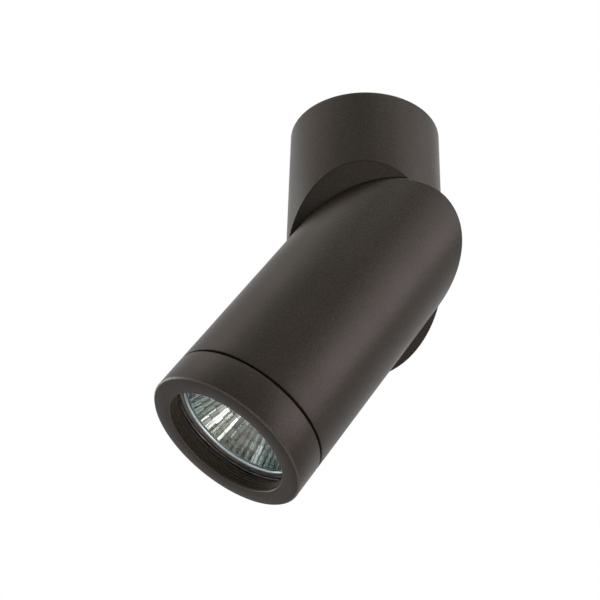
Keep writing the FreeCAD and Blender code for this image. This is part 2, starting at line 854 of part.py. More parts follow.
def lamp_reflector():
    front = lamp_set_back
    outline = [(0, front), (lamp_radius, front), (lamp_radius, front + lamp_rim)]
    for tier in range(1, facet_tiers):
        share = tier / facet_tiers
        outline.append((reflector_radius(share) + reflector_glass, tier_height(share)))
    outline += [(neck_radius, front + cap_start), (neck_radius, front + neck_end), (0, front + neck_end)]
    body = turned(outline)
    body = body.cut(rod(mouth_radius + cover_lip, front - overrun, front + cover_set + cover_thickness))
    body = body.cut(facet_bowl())
    return placed(body.cut(rod(throat_radius, front + lamp_rim, front + neck_end + overrun)), lamp_frame)


def lamp_cover():
    front = lamp_set_back + cover_set
    return placed(rod(mouth_radius + cover_lip - slide_fit, front, front + cover_thickness), lamp_frame)


def lamp_cap():
    front = lamp_set_back
    back = front + lamp_length
    body = turned([(neck_radius, front + cap_start), (cap_skirt_radius, front + cap_start),
                   (cap_end_radius, back),
                   (0, back), (0, front + neck_end), (neck_radius, front + neck_end)])
    for side in (-1, 1):
        body = body.cut(block(4 * body_radius, body_radius, front + cap_flat_start, back + overrun,
                              0, side * (cap_flat + body_radius / 2)))
    return placed(body, lamp_frame)


def lamp_pins():
    start = lamp_set_back + lamp_length
    end = start + pin_length
    pin = turned([(0, start), (pin_shank_radius, start), (pin_shank_radius, end - pin_head_length),
                  (pin_head_radius, end - pin_head_length), (pin_head_radius, end), (0, end)])
    pins = []
    for side in (-1, 1):
        copy = pin.copy()
        copy.translate(Vector(side * pin_pitch_radius, 0, 0))
        pins.append(copy)
    return placed(Part.makeCompound(pins), lamp_frame)


def lamp_capsule():
    tip = lamp_set_back + capsule_tip
    base = lamp_set_back + capsule_base
    end = lamp_set_back + neck_end
    body = rod(capsule_radius, tip + capsule_radius, base)
    dome = Part.makeSphere(capsule_radius, Vector(0, 0, tip + capsule_radius))
    pinch = block(2 * capsule_radius, capsule_wall * 2, base, end)
    room = rod(capsule_radius - capsule_wall, tip + capsule_radius, base - capsule_wall)
    return placed(body.fuse(dome).fuse(pinch).cut(room).removeSplitter(), lamp_frame)


def lamp_filament():
    start = lamp_set_back + capsule_tip + capsule_radius + capsule_wall
    end = lamp_set_back + capsule_base - capsule_wall
    coil = rod(filament_radius, start, start + filament_length)
    return placed(coil.fuse(rod(filament_leg_radius, start + filament_length, end)), lamp_frame)


# Bezel and front glass

def bezel_ring():
    back = bezel_height + seam_gap + spigot_length
    seal_groove = 2 * seal_radius
    ring_middle = glass_back + ring_radius + slide_fit
    outline = [(bore_radius + lip_chamfer, 0), (body_radius - bezel_round, 0), (body_radius, bezel_round),
               (body_radius, bezel_height - bezel_round), (body_radius - bezel_round, bezel_height),
               (spigot_radius + seal_groove, bezel_height),
               (spigot_radius + seal_groove, head_front - slide_fit - seal_groove),
               (spigot_radius, head_front - slide_fit - seal_groove), (spigot_radius, back),
               (pocket_radius, back), (pocket_radius, ring_middle + ring_radius),
               (pocket_radius + ring_groove_depth, ring_middle + ring_radius),
               (pocket_radius + ring_groove_depth, ring_middle - ring_radius),
               (pocket_radius, ring_middle - ring_radius),
               (pocket_radius, ledge_set), (rib_bore_radius, ledge_set)]
    start = ledge_set - rib_pitch / 2
    for n in range(rib_count):
        foot = start - n * rib_pitch
        outline += [(rib_bore_radius, foot), (rib_bore_radius - rib_depth, foot - rib_pitch / 4),
                    (rib_bore_radius - rib_depth, foot - rib_pitch / 2),
                    (rib_bore_radius, foot - rib_pitch * 3 / 4)]
    outline += [(rib_bore_radius, lip_thickness), (bore_radius, lip_thickness), (bore_radius, lip_chamfer)]
    return placed(turned(outline), lamp_frame)


def bezel_seal():
    middle = Vector(spigot_radius + seal_radius, 0, head_front - slide_fit - seal_radius)
    section = Part.Face(Part.Wire([Part.Circle(middle, Y_AXIS, seal_radius).toShape()]))
    return placed(section.revolve(ORIGIN, Z_AXIS, FULL_TURN), lamp_frame)


def glass_ring():
    """A split ring of round wire, sprung into the groove behind the glass."""
    middle = glass_back + ring_radius + slide_fit
    pitch = pocket_radius + ring_groove_depth - ring_radius
    section = Part.Face(Part.Wire([Part.Circle(Vector(pitch, 0, middle), Y_AXIS, ring_radius).toShape()]))
    wire = section.revolve(ORIGIN, Z_AXIS, FULL_TURN - ring_gap)
    wire.rotate(ORIGIN, Z_AXIS, ring_gap / 2)
    return placed(wire, lamp_frame)


def front_glass():
    return placed(turned([(0, glass_front), (glass_radius - glass_edge, glass_front),
                          (glass_radius, glass_front + glass_edge), (glass_radius, glass_back - glass_edge),
                          (glass_radius - glass_edge, glass_back), (0, glass_back)]), lamp_frame)


def glass_gasket():
    return placed(ring(glass_radius, glass_radius - gasket_width, ledge_set, glass_front), lamp_frame)


pieces = {
    "ceiling_bracket": ceiling_bracket,
    "cable_bush": cable_bush,
    "bracket_earth_screw": earth_screw,
    "bracket_earth_washer": earth_washer,
    "base_housing": base_housing,
    "grub_screws": grub_screws,
    "terminal_block": terminal_block,
    "terminal_sleeves": terminal_sleeves,
    "terminal_clamp_screws": clamp_screws,
    "terminal_block_screws": block_screws,
    "swivel_stop_pin": stop_pin,
    "friction_washer": friction_washer,
    "base_lead_sheath": base_sheath,
    "base_lead_wires": base_wires,
    "swivel_tube": swivel_tube,
    "swivel_base_nut": base_nut,
    "swivel_head_nut": head_nut,
    "thrust_washer": thrust_washer,
    "disc_springs": disc_springs,
    "tube_bushes": tube_bushes,
    "head_housing": head_housing,
    "lamp_carrier": lamp_carrier,
    "carrier_screws": carrier_screws,
    "lampholder": lampholder,
    "holder_screws": holder_screws,
    "lamp_contacts": lamp_contacts,
    "lamp_reflector": lamp_reflector,
    "lamp_cover_glass": lamp_cover,
    "lamp_cap": lamp_cap,
    "lamp_pins": lamp_pins,
    "lamp_capsule": lamp_capsule,
    "lamp_filament": lamp_filament,
    "head_lead_sheath": head_sheath,
    "head_lead_wires": head_wires,
    "head_earth_wire": earth_wire,
    "head_earth_tag": earth_tag,
    "head_earth_screw": tag_screw,
    "front_glass": front_glass,
    "glass_gasket": glass_gasket,
    "bezel_ring": bezel_ring,
    "bezel_seal": bezel_seal,
    "glass_retaining_ring": glass_ring,
}

os.makedirs("parts", exist_ok=True)
for name, make in pieces.items():
    shape = make()
    shape.exportStep("parts/" + name + ".step")
    print(name, len(shape.Solids), round(shape.Volume), shape.isValid())
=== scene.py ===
import math

import bmesh
import bpy
import numpy as np
from mathutils import Matrix, Vector


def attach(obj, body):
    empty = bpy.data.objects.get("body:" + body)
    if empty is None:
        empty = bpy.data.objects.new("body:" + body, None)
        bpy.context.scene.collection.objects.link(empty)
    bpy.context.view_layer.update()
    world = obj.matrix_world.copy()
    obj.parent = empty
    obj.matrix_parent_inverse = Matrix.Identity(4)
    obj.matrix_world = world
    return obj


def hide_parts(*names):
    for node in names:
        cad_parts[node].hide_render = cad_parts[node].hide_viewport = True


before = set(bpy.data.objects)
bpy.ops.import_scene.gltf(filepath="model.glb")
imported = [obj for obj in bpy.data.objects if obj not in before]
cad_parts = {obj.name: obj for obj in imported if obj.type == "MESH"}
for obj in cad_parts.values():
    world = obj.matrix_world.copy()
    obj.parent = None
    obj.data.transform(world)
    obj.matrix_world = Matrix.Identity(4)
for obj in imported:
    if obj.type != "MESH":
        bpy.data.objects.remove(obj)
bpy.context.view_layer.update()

# Surface spotlight with a mitred swivel. Lengths are in metres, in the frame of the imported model: the
# origin is the middle of the ceiling face, +Z is up and the mitre faces -Y.

MM = 0.001
WELD = MM / 1000
BODY_RADIUS = 31.5 * MM
BODY_BORE = 28.9 * MM
BASE_DEPTH = 67.0 * MM
CEILING_GAP = 0.5 * MM
FLOOR_THICKNESS = 4.0 * MM
FACE_GAP = 1.1 * MM
HEAD_REACH = 96.7 * MM
SWIVEL_TURN = math.radians(-46.3)
MITRE_TURN = math.radians(45.0)
TUBE_BORE = 6.5 * MM
TURN_STEPS = 240
ROUND_PARTS = 2
TUBE_CREASE = 24
RING_CREASE = 40
LAMP_CREASE = 30

# The rounded edge of the cut faces, and the rim at the open end of each tube

EDGE_ROUND = 0.5 * MM
EDGE_PARTS = 5
EDGE_GUARD = 0.35 * MM
FACE_SHARES = (0.25, 0.6, 0.9)
RIM_ROUND = 0.4 * MM
RIM_PARTS = 4
RIM_WALL_SHARE = 0.3
BASE_RIM = 6.0 * MM
HEAD_RIM = 9.0 * MM
CORNER_ROOM = 0.4

# The painted shade on the base's cut edge, a dark line where its rounding shows dark: how near it lies, and
# between which cosines to the mitre's normal

EDGE_BAND = 1.0 * MM
LEAVES_WALL = 0.03
MEETS_FACE = 0.985

GRUB_DEPTH = 7.0 * MM
GRUB_RADIUS = 2.05 * MM
GRUB_BEARING = math.radians(25.0)
GRUB_DRILL = 12.0 * MM
GRUB_STEPS = 48

BEZEL_HEIGHT = 14.4 * MM
BEZEL_CHAMFER = 0.6 * MM
BEZEL_ROUND = 0.12 * MM
LIP_CHAMFER = 0.35 * MM
SEAM_GAP = 0.5 * MM
HEAD_FRONT = BEZEL_HEIGHT + SEAM_GAP
LIP_BORE = 24.2 * MM
LIP_THICKNESS = 1.7 * MM
RIB_BORE = 24.95 * MM
RIB_DEPTH = 0.5 * MM
RIB_PITCH = 1.0 * MM
RIB_COUNT = 4
RIB_SHAPE = ((0.0, 0.5), (1.0, 0.75), (1.0, 1.0), (0.0, 1.25))
LEDGE_SET = 6.0 * MM
POCKET_RADIUS = 27.1 * MM
SPIGOT_RADIUS = 28.75 * MM
SPIGOT_END = 22.9 * MM
SEAL_SECTION = 1.4 * MM
SEAL_PLAY = 0.05 * MM
GLASS_RADIUS = 26.9 * MM
GLASS_FRONT = 6.8 * MM
GLASS_BACK = 9.8 * MM
GLASS_ROUND = 0.3 * MM
GASKET_BORE = 25.2 * MM
THIN_ROUND = 0.15 * MM
DISC_SHARES = (0.0, 0.4, 0.8, 0.96)

# The pocket's wall, in millimetres beyond its radius and behind the glass: a relief groove, then the
# retaining ring's. RIB_SHAPE above gives a rib's points as shares of its depth and of the pitch.

POCKET_WALL = ((0.0, 2.5), (0.15, 2.4), (0.15, 2.1), (0.0, 2.0), (0.0, 1.25), (0.5, 1.25),
               (0.5, 0.05), (0.0, 0.05))

THREAD_PITCH = 1.5 * MM
THREAD_DEPTH = 0.55 * MM
THREAD_STEPS = 96
RIDGE_HALF = 0.4 * MM
RIDGE_RISE = 0.5 * MM
RIDGE_TOP_SHARE = 0.7
OUTER_RIDGE_SET = 0.35 * MM
OUTER_RIDGE_START = 0.9 * MM
OUTER_RIDGE_TURNS = 4.0
INNER_RIDGE_SET = 0.22 * MM
INNER_RIDGE_START = 1.65 * MM
INNER_RIDGE_TURNS = 4.5

LAMP_FRONT = 11.5 * MM
LAMP_RADIUS = 25.35 * MM
LAMP_STEPS = 180
MIRROR_MOUTH = 23.7 * MM
MIRROR_THROAT = 6.5 * MM
MIRROR_SEAT = 1.6 * MM
MIRROR_DEPTH = 27.5 * MM
MIRROR_GLASS = 1.6 * MM
BOWL_PARTS = 24
FACET_ROOM = 0.4 * MM
COVER_LIP = 0.6 * MM
COVER_PLAY = 0.05 * MM
COVER_SET = 0.4 * MM
NECK_RADIUS = 10.5 * MM
NECK_START = 26.0 * MM
NECK_END = 31.0 * MM

# The lamp's moulded rim, in millimetres from its mouth or its radius and behind its front

RIM_MOUTH_SIDE = ((0.0, 0.8), (0.5, 0.1))
RIM_OUTER_SIDE = ((-0.15, 0.0), (0.0, 0.2), (0.0, 2.2))
LAMP_RIM_ROUND = 0.2 * MM
LAMP_RIM_PARTS = 3
SILVER_DEPTH = 0.9 * MM
SILVER_MOUTH_BAND = 0.5 * MM
SILVER_OUTER_BAND = 0.22 * MM

COIL_START = 14.6 * MM
COIL_LENGTH = 5.0 * MM
COIL_RADIUS = 0.8 * MM
COIL_WIRE = 0.09 * MM
COIL_TURNS = 12.0
COIL_STEPS = 18
LEG_WIRE = 0.12 * MM
CAPSULE_BASE = 27.0 * MM

# Mirror facets. Each pair of shares is for what a column and what a single facet draws at random; the random
# facet brightness is painted reflection.

FACETS_ROUND = 54
FACET_TIERS = 8
FACET_LEAN = 0.17
FACET_TILT = 0.04
FACET_BULGE = 0.1 * MM
FACET_THICKNESS = 0.3 * MM
FACET_OVERLAP = 1.05
FACET_SEED = 2
SHADE_SEED_STEP = 7.0
TILT_SHARES = (1.0, 0.4)
SHADE_SHARES = (0.6, 0.4)

# Places: the mitre's normal, and the head's own directions as it hangs in the photograph

MITRE_NORMAL = Vector((0.0, -math.sin(MITRE_TURN), -math.cos(MITRE_TURN)))
MITRE_MIDDLE = Vector((0.0, 0.0, -BASE_DEPTH))


def turned_with_head(direction):
    """A direction of the head hanging straight down, turned about the mitre's normal."""
    vector = Vector(direction)
    along = MITRE_NORMAL * vector.dot(MITRE_NORMAL)
    across = vector - along
    return along + across * math.cos(SWIVEL_TURN) + MITRE_NORMAL.cross(across) * math.sin(SWIVEL_TURN)


HEAD_SIDE = turned_with_head((1.0, 0.0, 0.0))
HEAD_BACK = turned_with_head((0.0, 1.0, 0.0))
HEAD_UP = turned_with_head((0.0, 0.0, 1.0))
FACE_MIDDLE = MITRE_MIDDLE + MITRE_NORMAL * FACE_GAP - HEAD_UP * HEAD_REACH


def in_head(points):
    """Points of the head, from its own directions (side, back, up from the bezel's face) into the frame."""
    turn = np.array([HEAD_SIDE, HEAD_BACK, HEAD_UP])
    return np.asarray(points, float) @ turn + np.array(FACE_MIDDLE)


# Meshes

def new_object(name, data):
    """An object in the scene for a mesh, curve, lamp or camera."""
    made = bpy.data.objects.new(name, data)
    bpy.context.scene.collection.objects.link(made)
    return made


def add_object(name, points, faces):
    """An object with a mesh of points and faces."""
    mesh = bpy.data.meshes.new(name)
    mesh.from_pydata([tuple(p) for p in points], [], faces)
    mesh.update()
    return new_object(name, mesh)


def baked(piece):
    """A new mesh of what a piece's curve or modifiers give, with the modifiers then removed."""
    bpy.context.view_layer.update()
    mesh = bpy.data.meshes.new_from_object(piece.evaluated_get(bpy.context.evaluated_depsgraph_get()))
    piece.modifiers.clear()
    return mesh


def move_mesh(piece, place):
    """Moves a piece's mesh by a function of its points, with its object left at the origin."""
    mesh = piece.data
    points = np.empty(len(mesh.vertices) * 3)
    mesh.vertices.foreach_get("co", points)
    mesh.vertices.foreach_set("co", place(points.reshape(-1, 3)).ravel())
    mesh.update()


def smooth_below(piece, degrees):
    """Smooth shading, with creases left where the surface turns by more than an angle."""
    mesh = piece.data
    mesh.polygons.foreach_set("use_smooth", [True] * len(mesh.polygons))
    mesh.set_sharp_from_angle(angle=math.radians(degrees))
    mesh.update()


def outward(piece):
    """Joins points that coincide and turns the faces outwards."""
    shape = bmesh.new()
    shape.from_mesh(piece.data)
    bmesh.ops.remove_doubles(shape, verts=shape.verts, dist=WELD)
    bmesh.ops.recalc_face_normals(shape, faces=shape.faces)
    shape.to_mesh(piece.data)
    shape.free()


def level_ring(radius, height, steps):
    """Points round an upright axis."""
    angles = np.arange(steps) * 2 * math.pi / steps
    return np.stack([radius * np.cos(angles), radius * np.sin(angles), np.full(steps, height)], 1)


def ring_faces(rings, steps, closed):
    """Quads between rings of points, one ring after the other, and back to the first where closed."""
    faces = []
    for ring in range(rings if closed else rings - 1):
        here = ring * steps
        there = (ring + 1) % rings * steps
        for step in range(steps):
            ahead = (step + 1) % steps
            faces.append((here + step, here + ahead, there + ahead, there + step))
    return faces


def rounded(start, corner, end, parts):
    """Points along the curve that rounds a corner."""
    shares = [part / parts for part in range(parts + 1)]
    return [start * (1 - t) ** 2 + corner * 2 * t * (1 - t) + end * t ** 2 for t in shares]


def round_corners(outline, radius, parts):
    """A closed outline with its corners rounded, by less where a side is short."""
    result = []
    for n, corner in enumerate(outline):
        corner = np.array(corner, float)
        into = np.array(outline[n - 1], float) - corner
        out_of = np.array(outline[(n + 1) % len(outline)], float) - corner
        width = min(radius, min(np.linalg.norm(into), np.linalg.norm(out_of)) * CORNER_ROOM)
        start, end = (corner + way / np.linalg.norm(way) * width for way in (into, out_of))
        result += [tuple(point) for point in rounded(start, corner, end, parts)]
    return result


def turned_solid(name, outline, steps=TURN_STEPS, closed=True):
    """A solid turned about the head's axis from a (radius, height) outline, closed or from pole to pole."""
    points = np.concatenate([level_ring(radius, height, steps) for radius, height in outline])
    piece = add_object(name, in_head(points), ring_faces(len(outline), steps, closed))
    outward(piece)
    return piece


def turned_ring(name, outer, inner, low, high, edge):
    """A flat ring or disc with softened edges, a disc where the inner radius is nil."""
    corners = [(inner, low), (outer, low), (outer, high), (inner, high)]
    soft = round_corners(corners, edge, ROUND_PARTS)
    if inner > 0:
        return turned_solid(name, soft)
    rim = soft[ROUND_PARTS + 1:3 * (ROUND_PARTS + 1)]
    low_rings = [(outer * share, low) for share in DISC_SHARES]
    high_rings = [(outer * share, high) for share in DISC_SHARES[::-1]]
    return turned_solid(name, low_rings + rim + high_rings, closed=False)


def coat_faces(piece, finish, chosen):
    """A further finish on those faces of a turned piece that are chosen by radius and height."""
    piece.data.materials.append(FINISHES[finish])
    slot = len(piece.data.materials) - 1
    axis = np.array(HEAD_UP)
    for face in piece.data.polygons:
        place = np.array(face.center) - np.array(FACE_MIDDLE)
        height = place @ axis
        if chosen(np.linalg.norm(place - height * axis), height):
            face.material_index = slot


# Base and head

def open_rim(height, inwards):
    """The rounded rim of a tube's open end, from the bore over the end to the outer wall."""
    corners = [(BODY_BORE, height + inwards), (BODY_BORE, height), (BODY_RADIUS, height),
               (BODY_RADIUS, height + inwards)]
    middle = slice(RIM_PARTS + 1, 2 * (RIM_PARTS + 1))
    first = round_corners(corners[:3], RIM_ROUND, RIM_PARTS)[middle]
    second = round_corners(corners[1:], RIM_ROUND, RIM_PARTS)[middle]
    return [corners[0]] + first + second + [(BODY_RADIUS, height + RIM_WALL_SHARE * inwards)]


def mitred_tube(name, end_outline, sign):
    """A tube closed by a slanted floor with a bore, in plain upright directions.

    The slanted face passes through the origin and faces down for the base (sign 1) and up for the head
    (sign -1). The rim of the open end follows end_outline, (radius, height) points from inside to outside.
    """
    side, back = level_ring(1.0, 0.0, TURN_STEPS).T[:2]
    slope = math.tan(MITRE_TURN)
    normal = np.array([0.0, -math.sin(MITRE_TURN), -math.cos(MITRE_TURN)]) * sign
    upright = np.array([0.0, 0.0, 1.0]) * sign

    def on_wall(radius, lift):
        return np.stack([radius * side, radius * back, -radius * back * slope + lift], 1)

    edge = on_wall(BODY_RADIUS, 0.0)
    tangents = np.stack([-back, side, -side * slope], 1)
    tangents /= np.linalg.norm(tangents, axis=1)[:, None]
    inwards = np.cross(normal, tangents)
    inwards *= np.sign((inwards * -edge).sum(1))[:, None]
    radial = level_ring(1.0, 0.0, TURN_STEPS)
    dihedral = math.pi - np.arccos((radial * normal).sum(1))
    setback = (EDGE_ROUND / np.tan(dihedral / 2))[:, None]
    wall_start = edge + upright * setback / np.abs((np.cross(tangents, radial) * upright).sum(1))[:, None]
    face_start = edge + inwards * setback
    bore_edge = np.stack([side * TUBE_BORE, back * TUBE_BORE * math.cos(MITRE_TURN),
                          -back * TUBE_BORE * math.sin(MITRE_TURN)], 1)

    rings = [level_ring(radius, height, TURN_STEPS) for radius, height in end_outline]
    rings.append(wall_start + upright * EDGE_GUARD)
    rings += rounded(wall_start, edge, face_start, EDGE_PARTS)
    rings.append(edge + inwards * (setback + EDGE_GUARD))
    rings += [face_start * (1 - share) + bore_edge * share for share in FACE_SHARES]
    rings += [bore_edge, bore_edge - normal * FLOOR_THICKNESS,
              on_wall(BODY_BORE, sign * FLOOR_THICKNESS / math.cos(MITRE_TURN))]
    return add_object(name, np.concatenate(rings), ring_faces(len(rings), TURN_STEPS, True))


def drill_grub_hole(base, side):
    """Cuts the hole of one grub screw through the wall."""
    facing = Vector((side * math.cos(GRUB_BEARING), math.sin(GRUB_BEARING), 0.0))
    bpy.ops.mesh.primitive_cylinder_add(vertices=GRUB_STEPS, radius=GRUB_RADIUS, depth=GRUB_DRILL,
                                        location=facing * BODY_RADIUS - Vector((0, 0, GRUB_DEPTH)),
                                        rotation=facing.to_track_quat("Z", "Y").to_euler())
    drill = bpy.context.object
    cut = base.modifiers.new("grub_hole", "BOOLEAN")
    cut.object = drill
    cut.solver = "EXACT"
    base.data = baked(base)
    bpy.data.objects.remove(drill)


def make_base():
    """The base with its grub screw holes, and painted shade along its cut edge."""
    base = mitred_tube("base_shell", open_rim(BASE_DEPTH - CEILING_GAP, -BASE_RIM), 1)
    move_mesh(base, lambda points: points - np.array([0.0, 0.0, BASE_DEPTH]))
    outward(base)
    for side in (-1, 1):
        drill_grub_hole(base, side)
    base.data.materials.append(FINISHES["paint"])
    base.data.materials.append(FINISHES["painted_shade_edge"])
    # Faces on the rounded cut edge take the painted shade, a dark line along it
    for face in base.data.polygons:
        middle = face.center
        near_wall = math.hypot(middle.x, middle.y) > BODY_RADIUS - EDGE_BAND
        near_face = (middle - MITRE_MIDDLE).dot(MITRE_NORMAL) > -EDGE_BAND
        wall = Vector((middle.x, middle.y, 0.0)).normalized().dot(MITRE_NORMAL)
        if near_wall and near_face and wall + LEAVES_WALL < face.normal.dot(MITRE_NORMAL) < MEETS_FACE:
            face.material_index = 1
    return base


def make_head():
    """The head's tube, from its cut face to the seam in front."""
    head = mitred_tube("head_shell", open_rim(HEAD_FRONT - HEAD_REACH, HEAD_RIM), -1)
    move_mesh(head, lambda points: in_head(points + np.array([0.0, 0.0, HEAD_REACH])))
    outward(head)
    return head


# Bezel

def make_bezel():
    """The turned bezel: a chamfered lip, ribs in the bore, the glass's pocket and the threaded spigot."""
    seal_floor = SPIGOT_RADIUS + SEAL_SECTION
    seal_end = HEAD_FRONT - SEAL_SECTION - SEAL_PLAY
    core = SPIGOT_RADIUS - THREAD_DEPTH
    lip_edge = LIP_BORE + LIP_CHAMFER
    outer_edge = BODY_RADIUS - BEZEL_CHAMFER
    outline = [(LIP_BORE, LIP_THICKNESS), (LIP_BORE, LIP_CHAMFER), (lip_edge, 0.0), (outer_edge, 0.0),
               (BODY_RADIUS, BEZEL_CHAMFER), (BODY_RADIUS, BEZEL_HEIGHT - BEZEL_CHAMFER),
               (outer_edge, BEZEL_HEIGHT), (seal_floor, BEZEL_HEIGHT), (seal_floor, seal_end),
               (core, seal_end), (core, SPIGOT_END - THREAD_DEPTH), (core - THREAD_DEPTH, SPIGOT_END),
               (POCKET_RADIUS, SPIGOT_END)]
    outline += [(POCKET_RADIUS + out * MM, GLASS_BACK + back * MM) for out, back in POCKET_WALL]
    outline += [(POCKET_RADIUS, LEDGE_SET), (RIB_BORE, LEDGE_SET)]
    for n in range(RIB_COUNT):
        outline += [(RIB_BORE - inwards * RIB_DEPTH, LEDGE_SET - (n + along) * RIB_PITCH)
                    for inwards, along in RIB_SHAPE]
    outline.append((RIB_BORE, LIP_THICKNESS))
    bezel = turned_solid("bezel_body", round_corners(outline, BEZEL_ROUND, ROUND_PARTS))

    # A paler coat in the bore, painted light on its walls, a bare wall past the ring, a painted highlight on
    # the chamfered edges, and a painted highlight on the crest of every second rib, where the place along two
    # pitches is in its last quarter
    deepest_groove = POCKET_RADIUS + 0.6 * MM
    past_ring = GLASS_BACK + 1.2 * MM
    pocket_low = POCKET_RADIUS - 0.1 * MM
    pocket_high = POCKET_RADIUS + 0.2 * MM
    past_lip = LIP_THICKNESS + 0.1 * MM
    crest = RIB_BORE - 0.35 * MM
    bezel.data.materials.append(FINISHES["paint"])
    coat_faces(bezel, "bore_painted_light", lambda radius, height: height > LIP_CHAMFER and radius < deepest_groove)
    coat_faces(bezel, "bare_wall",
               lambda radius, height: height > past_ring and pocket_low < radius < pocket_high)
    coat_faces(bezel, "painted_highlight_edges",
               lambda radius, height: height < BEZEL_CHAMFER and not lip_edge < radius < outer_edge
               and (radius > lip_edge or height < LIP_CHAMFER))
    coat_faces(bezel, "painted_highlight_edges",
               lambda radius, height: height > past_lip and radius < crest
               and (LEDGE_SET - height) / RIB_PITCH % 2 > 1.5)
    return bezel


# Lamp

def mirror_radius(share):
    """The mirror's radius at a share of its depth, on a parabola."""
    span = MIRROR_MOUTH ** 2 - MIRROR_THROAT ** 2
    return math.sqrt(MIRROR_THROAT ** 2 + span * (1 - share))


def make_lamp_glass():
    """The pressed glass behind the mirror's facets, with its rim and its neck."""
    start = LAMP_FRONT + MIRROR_SEAT
    depth = MIRROR_DEPTH - MIRROR_SEAT
    mouth = MIRROR_MOUTH + COVER_LIP
    rim = [(mouth, start)]
    for radius, places in ((mouth, RIM_MOUTH_SIDE), (LAMP_RADIUS, RIM_OUTER_SIDE)):
        rim += [(radius + out * MM, LAMP_FRONT + back * MM) for out, back in places]
    shares = [n / BOWL_PARTS for n in range(BOWL_PARTS + 1)]
    inner = [(mirror_radius(share) + FACET_ROOM, start + depth * share) for share in shares]
    outer = [(mirror_radius(share) + MIRROR_GLASS, start + depth * share) for share in shares[2:-3]]
    neck = [(NECK_RADIUS, LAMP_FRONT + NECK_START), (NECK_RADIUS, LAMP_FRONT + NECK_END),
            (MIRROR_THROAT + FACET_ROOM, LAMP_FRONT + NECK_END)]
    outline = round_corners(rim, LAMP_RIM_ROUND, LAMP_RIM_PARTS) + outer + neck + inner[::-1]
    body = turned_solid("lamp_glass_body", outline, LAMP_STEPS)
    body.data.materials.append(FINISHES["lamp_glass"])
    coat_faces(body, "lamp_rim", lambda radius, height: height < LAMP_FRONT + SILVER_DEPTH
               and (radius < mouth + SILVER_MOUTH_BAND or radius > LAMP_RADIUS - SILVER_OUTER_BAND))
    return body


def make_filament_legs():
    """Two bent wires that carry the coil, from its ends down to the pinch of the capsule.

    Their points are given in millimetres from the axis and in heights.
    """
    curve = bpy.data.curves.new("filament_legs", "CURVE")
    curve.dimensions = "3D"
    curve.bevel_depth = LEG_WIRE
    curve.bevel_resolution = 2
    curve.use_fill_caps = True
    top = LAMP_FRONT + COIL_START
    base = LAMP_FRONT + CAPSULE_BASE
    for side, start in ((-1, top + COIL_LENGTH), (1, top)):
        points = [(0.8, start), (1.6, start), (2.2, start + 1.2 * MM), (2.0, base - 3 * MM), (1.2, base)]
        spline = curve.splines.new("NURBS")
        spline.points.add(len(points) - 1)
        for point, (out, height) in zip(spline.points, points):
            point.co = (out * side * MM, 0.0, height, 1.0)
        spline.use_endpoint_u = True
        spline.order_u = 3
        spline.resolution_u = 6
    legs = new_object("filament_legs", curve)
    mesh = baked(legs)
    bpy.data.objects.remove(legs)
    piece = new_object("filament_legs", mesh)
    move_mesh(piece, in_head)
    return piece


# Node trees

def feed(tree, node, inputs):
    """Gives inputs of a node, by name or number: a socket is linked, a plain value is set."""
    for key, term in inputs.items():
        if isinstance(term, bpy.types.NodeSocket):
            tree.links.new(term, node.inputs[key])
        else:
            node.inputs[key].default_value = term


def add_node(tree, kind, inputs=None, **settings):
    """A new node of a tree, with its settings and then its inputs."""
    made = tree.nodes.new(kind)
    for key, setting in settings.items():
        setattr(made, key, setting)
    feed(tree, made, inputs or {})
    return made


class Tree:
    """A geometry node tree with named inputs, built node by node."""

    def __init__(self, name):
        self.group = bpy.data.node_groups.new(name, "GeometryNodeTree")
        for way in ("INPUT", "OUTPUT"):
            self.group.interface.new_socket("Geometry", in_out=way, socket_type="NodeSocketGeometry")
        self.inputs = self.group.nodes.new("NodeGroupInput")
        self.outputs = self.group.nodes.new("NodeGroupOutput")

    def values(self, kind, *names):
        """Named inputs of the tree, as the sockets that give them."""
        for name in names:
            self.group.interface.new_socket(name, in_out="INPUT", socket_type="NodeSocket" + kind)
        return [self.inputs.outputs[name] for name in names]

    def node(self, kind, inputs=None, **settings):
        return add_node(self.group, kind, inputs, **settings)

    def sum(self, operation, *terms):
        """A number worked out from sockets or plain numbers."""
        return self.node("ShaderNodeMath", dict(enumerate(terms)), operation=operation).outputs[0]

    def vector(self, *parts):
        """A vector made up of sockets or plain numbers."""
        return self.node("ShaderNodeCombineXYZ", dict(enumerate(parts))).outputs[0]

    def spiral(self, steps, turns, radius, height):
        """A curve that winds upwards round the axis."""
        return self.node("GeometryNodeCurveSpiral", {
            "Resolution": steps, "Rotations": turns, "Start Radius": radius, "End Radius": radius,
            "Height": height}).outputs[0]

    def swept(self, path, section, low):
        """A section swept along a path, with its ends closed, and raised to its place."""
        sweep = self.node("GeometryNodeCurveToMesh", {
            "Curve": path, "Profile Curve": section, "Fill Caps": True})
        return self.node("GeometryNodeTransform", {
            "Geometry": sweep.outputs[0], "Translation": self.vector(0.0, 0.0, low)}).outputs[0]

    def end(self, geometry, material):
        """Realizes what the tree made, gives it its material and hands it on."""
        real = self.node("GeometryNodeRealizeInstances", {0: geometry})
        coated = self.node("GeometryNodeSetMaterial", {"Geometry": real.outputs[0], "Material": material})
        feed(self.group, self.outputs, {0: coated.outputs[0]})


def grow(name, tree, settings):
    """The mesh that a tree makes, in the head's place: its inputs are set before it is evaluated."""
    piece = add_object(name, [(0, 0, 0)], [])
    modifier = piece.modifiers.new("grow", "NODES")
    modifier.node_group = tree.group
    for item in tree.group.interface.items_tree:
        if item.name in settings:
            modifier[item.identifier] = settings[item.name]
    piece.data = baked(piece)
    move_mesh(piece, in_head)
    return piece


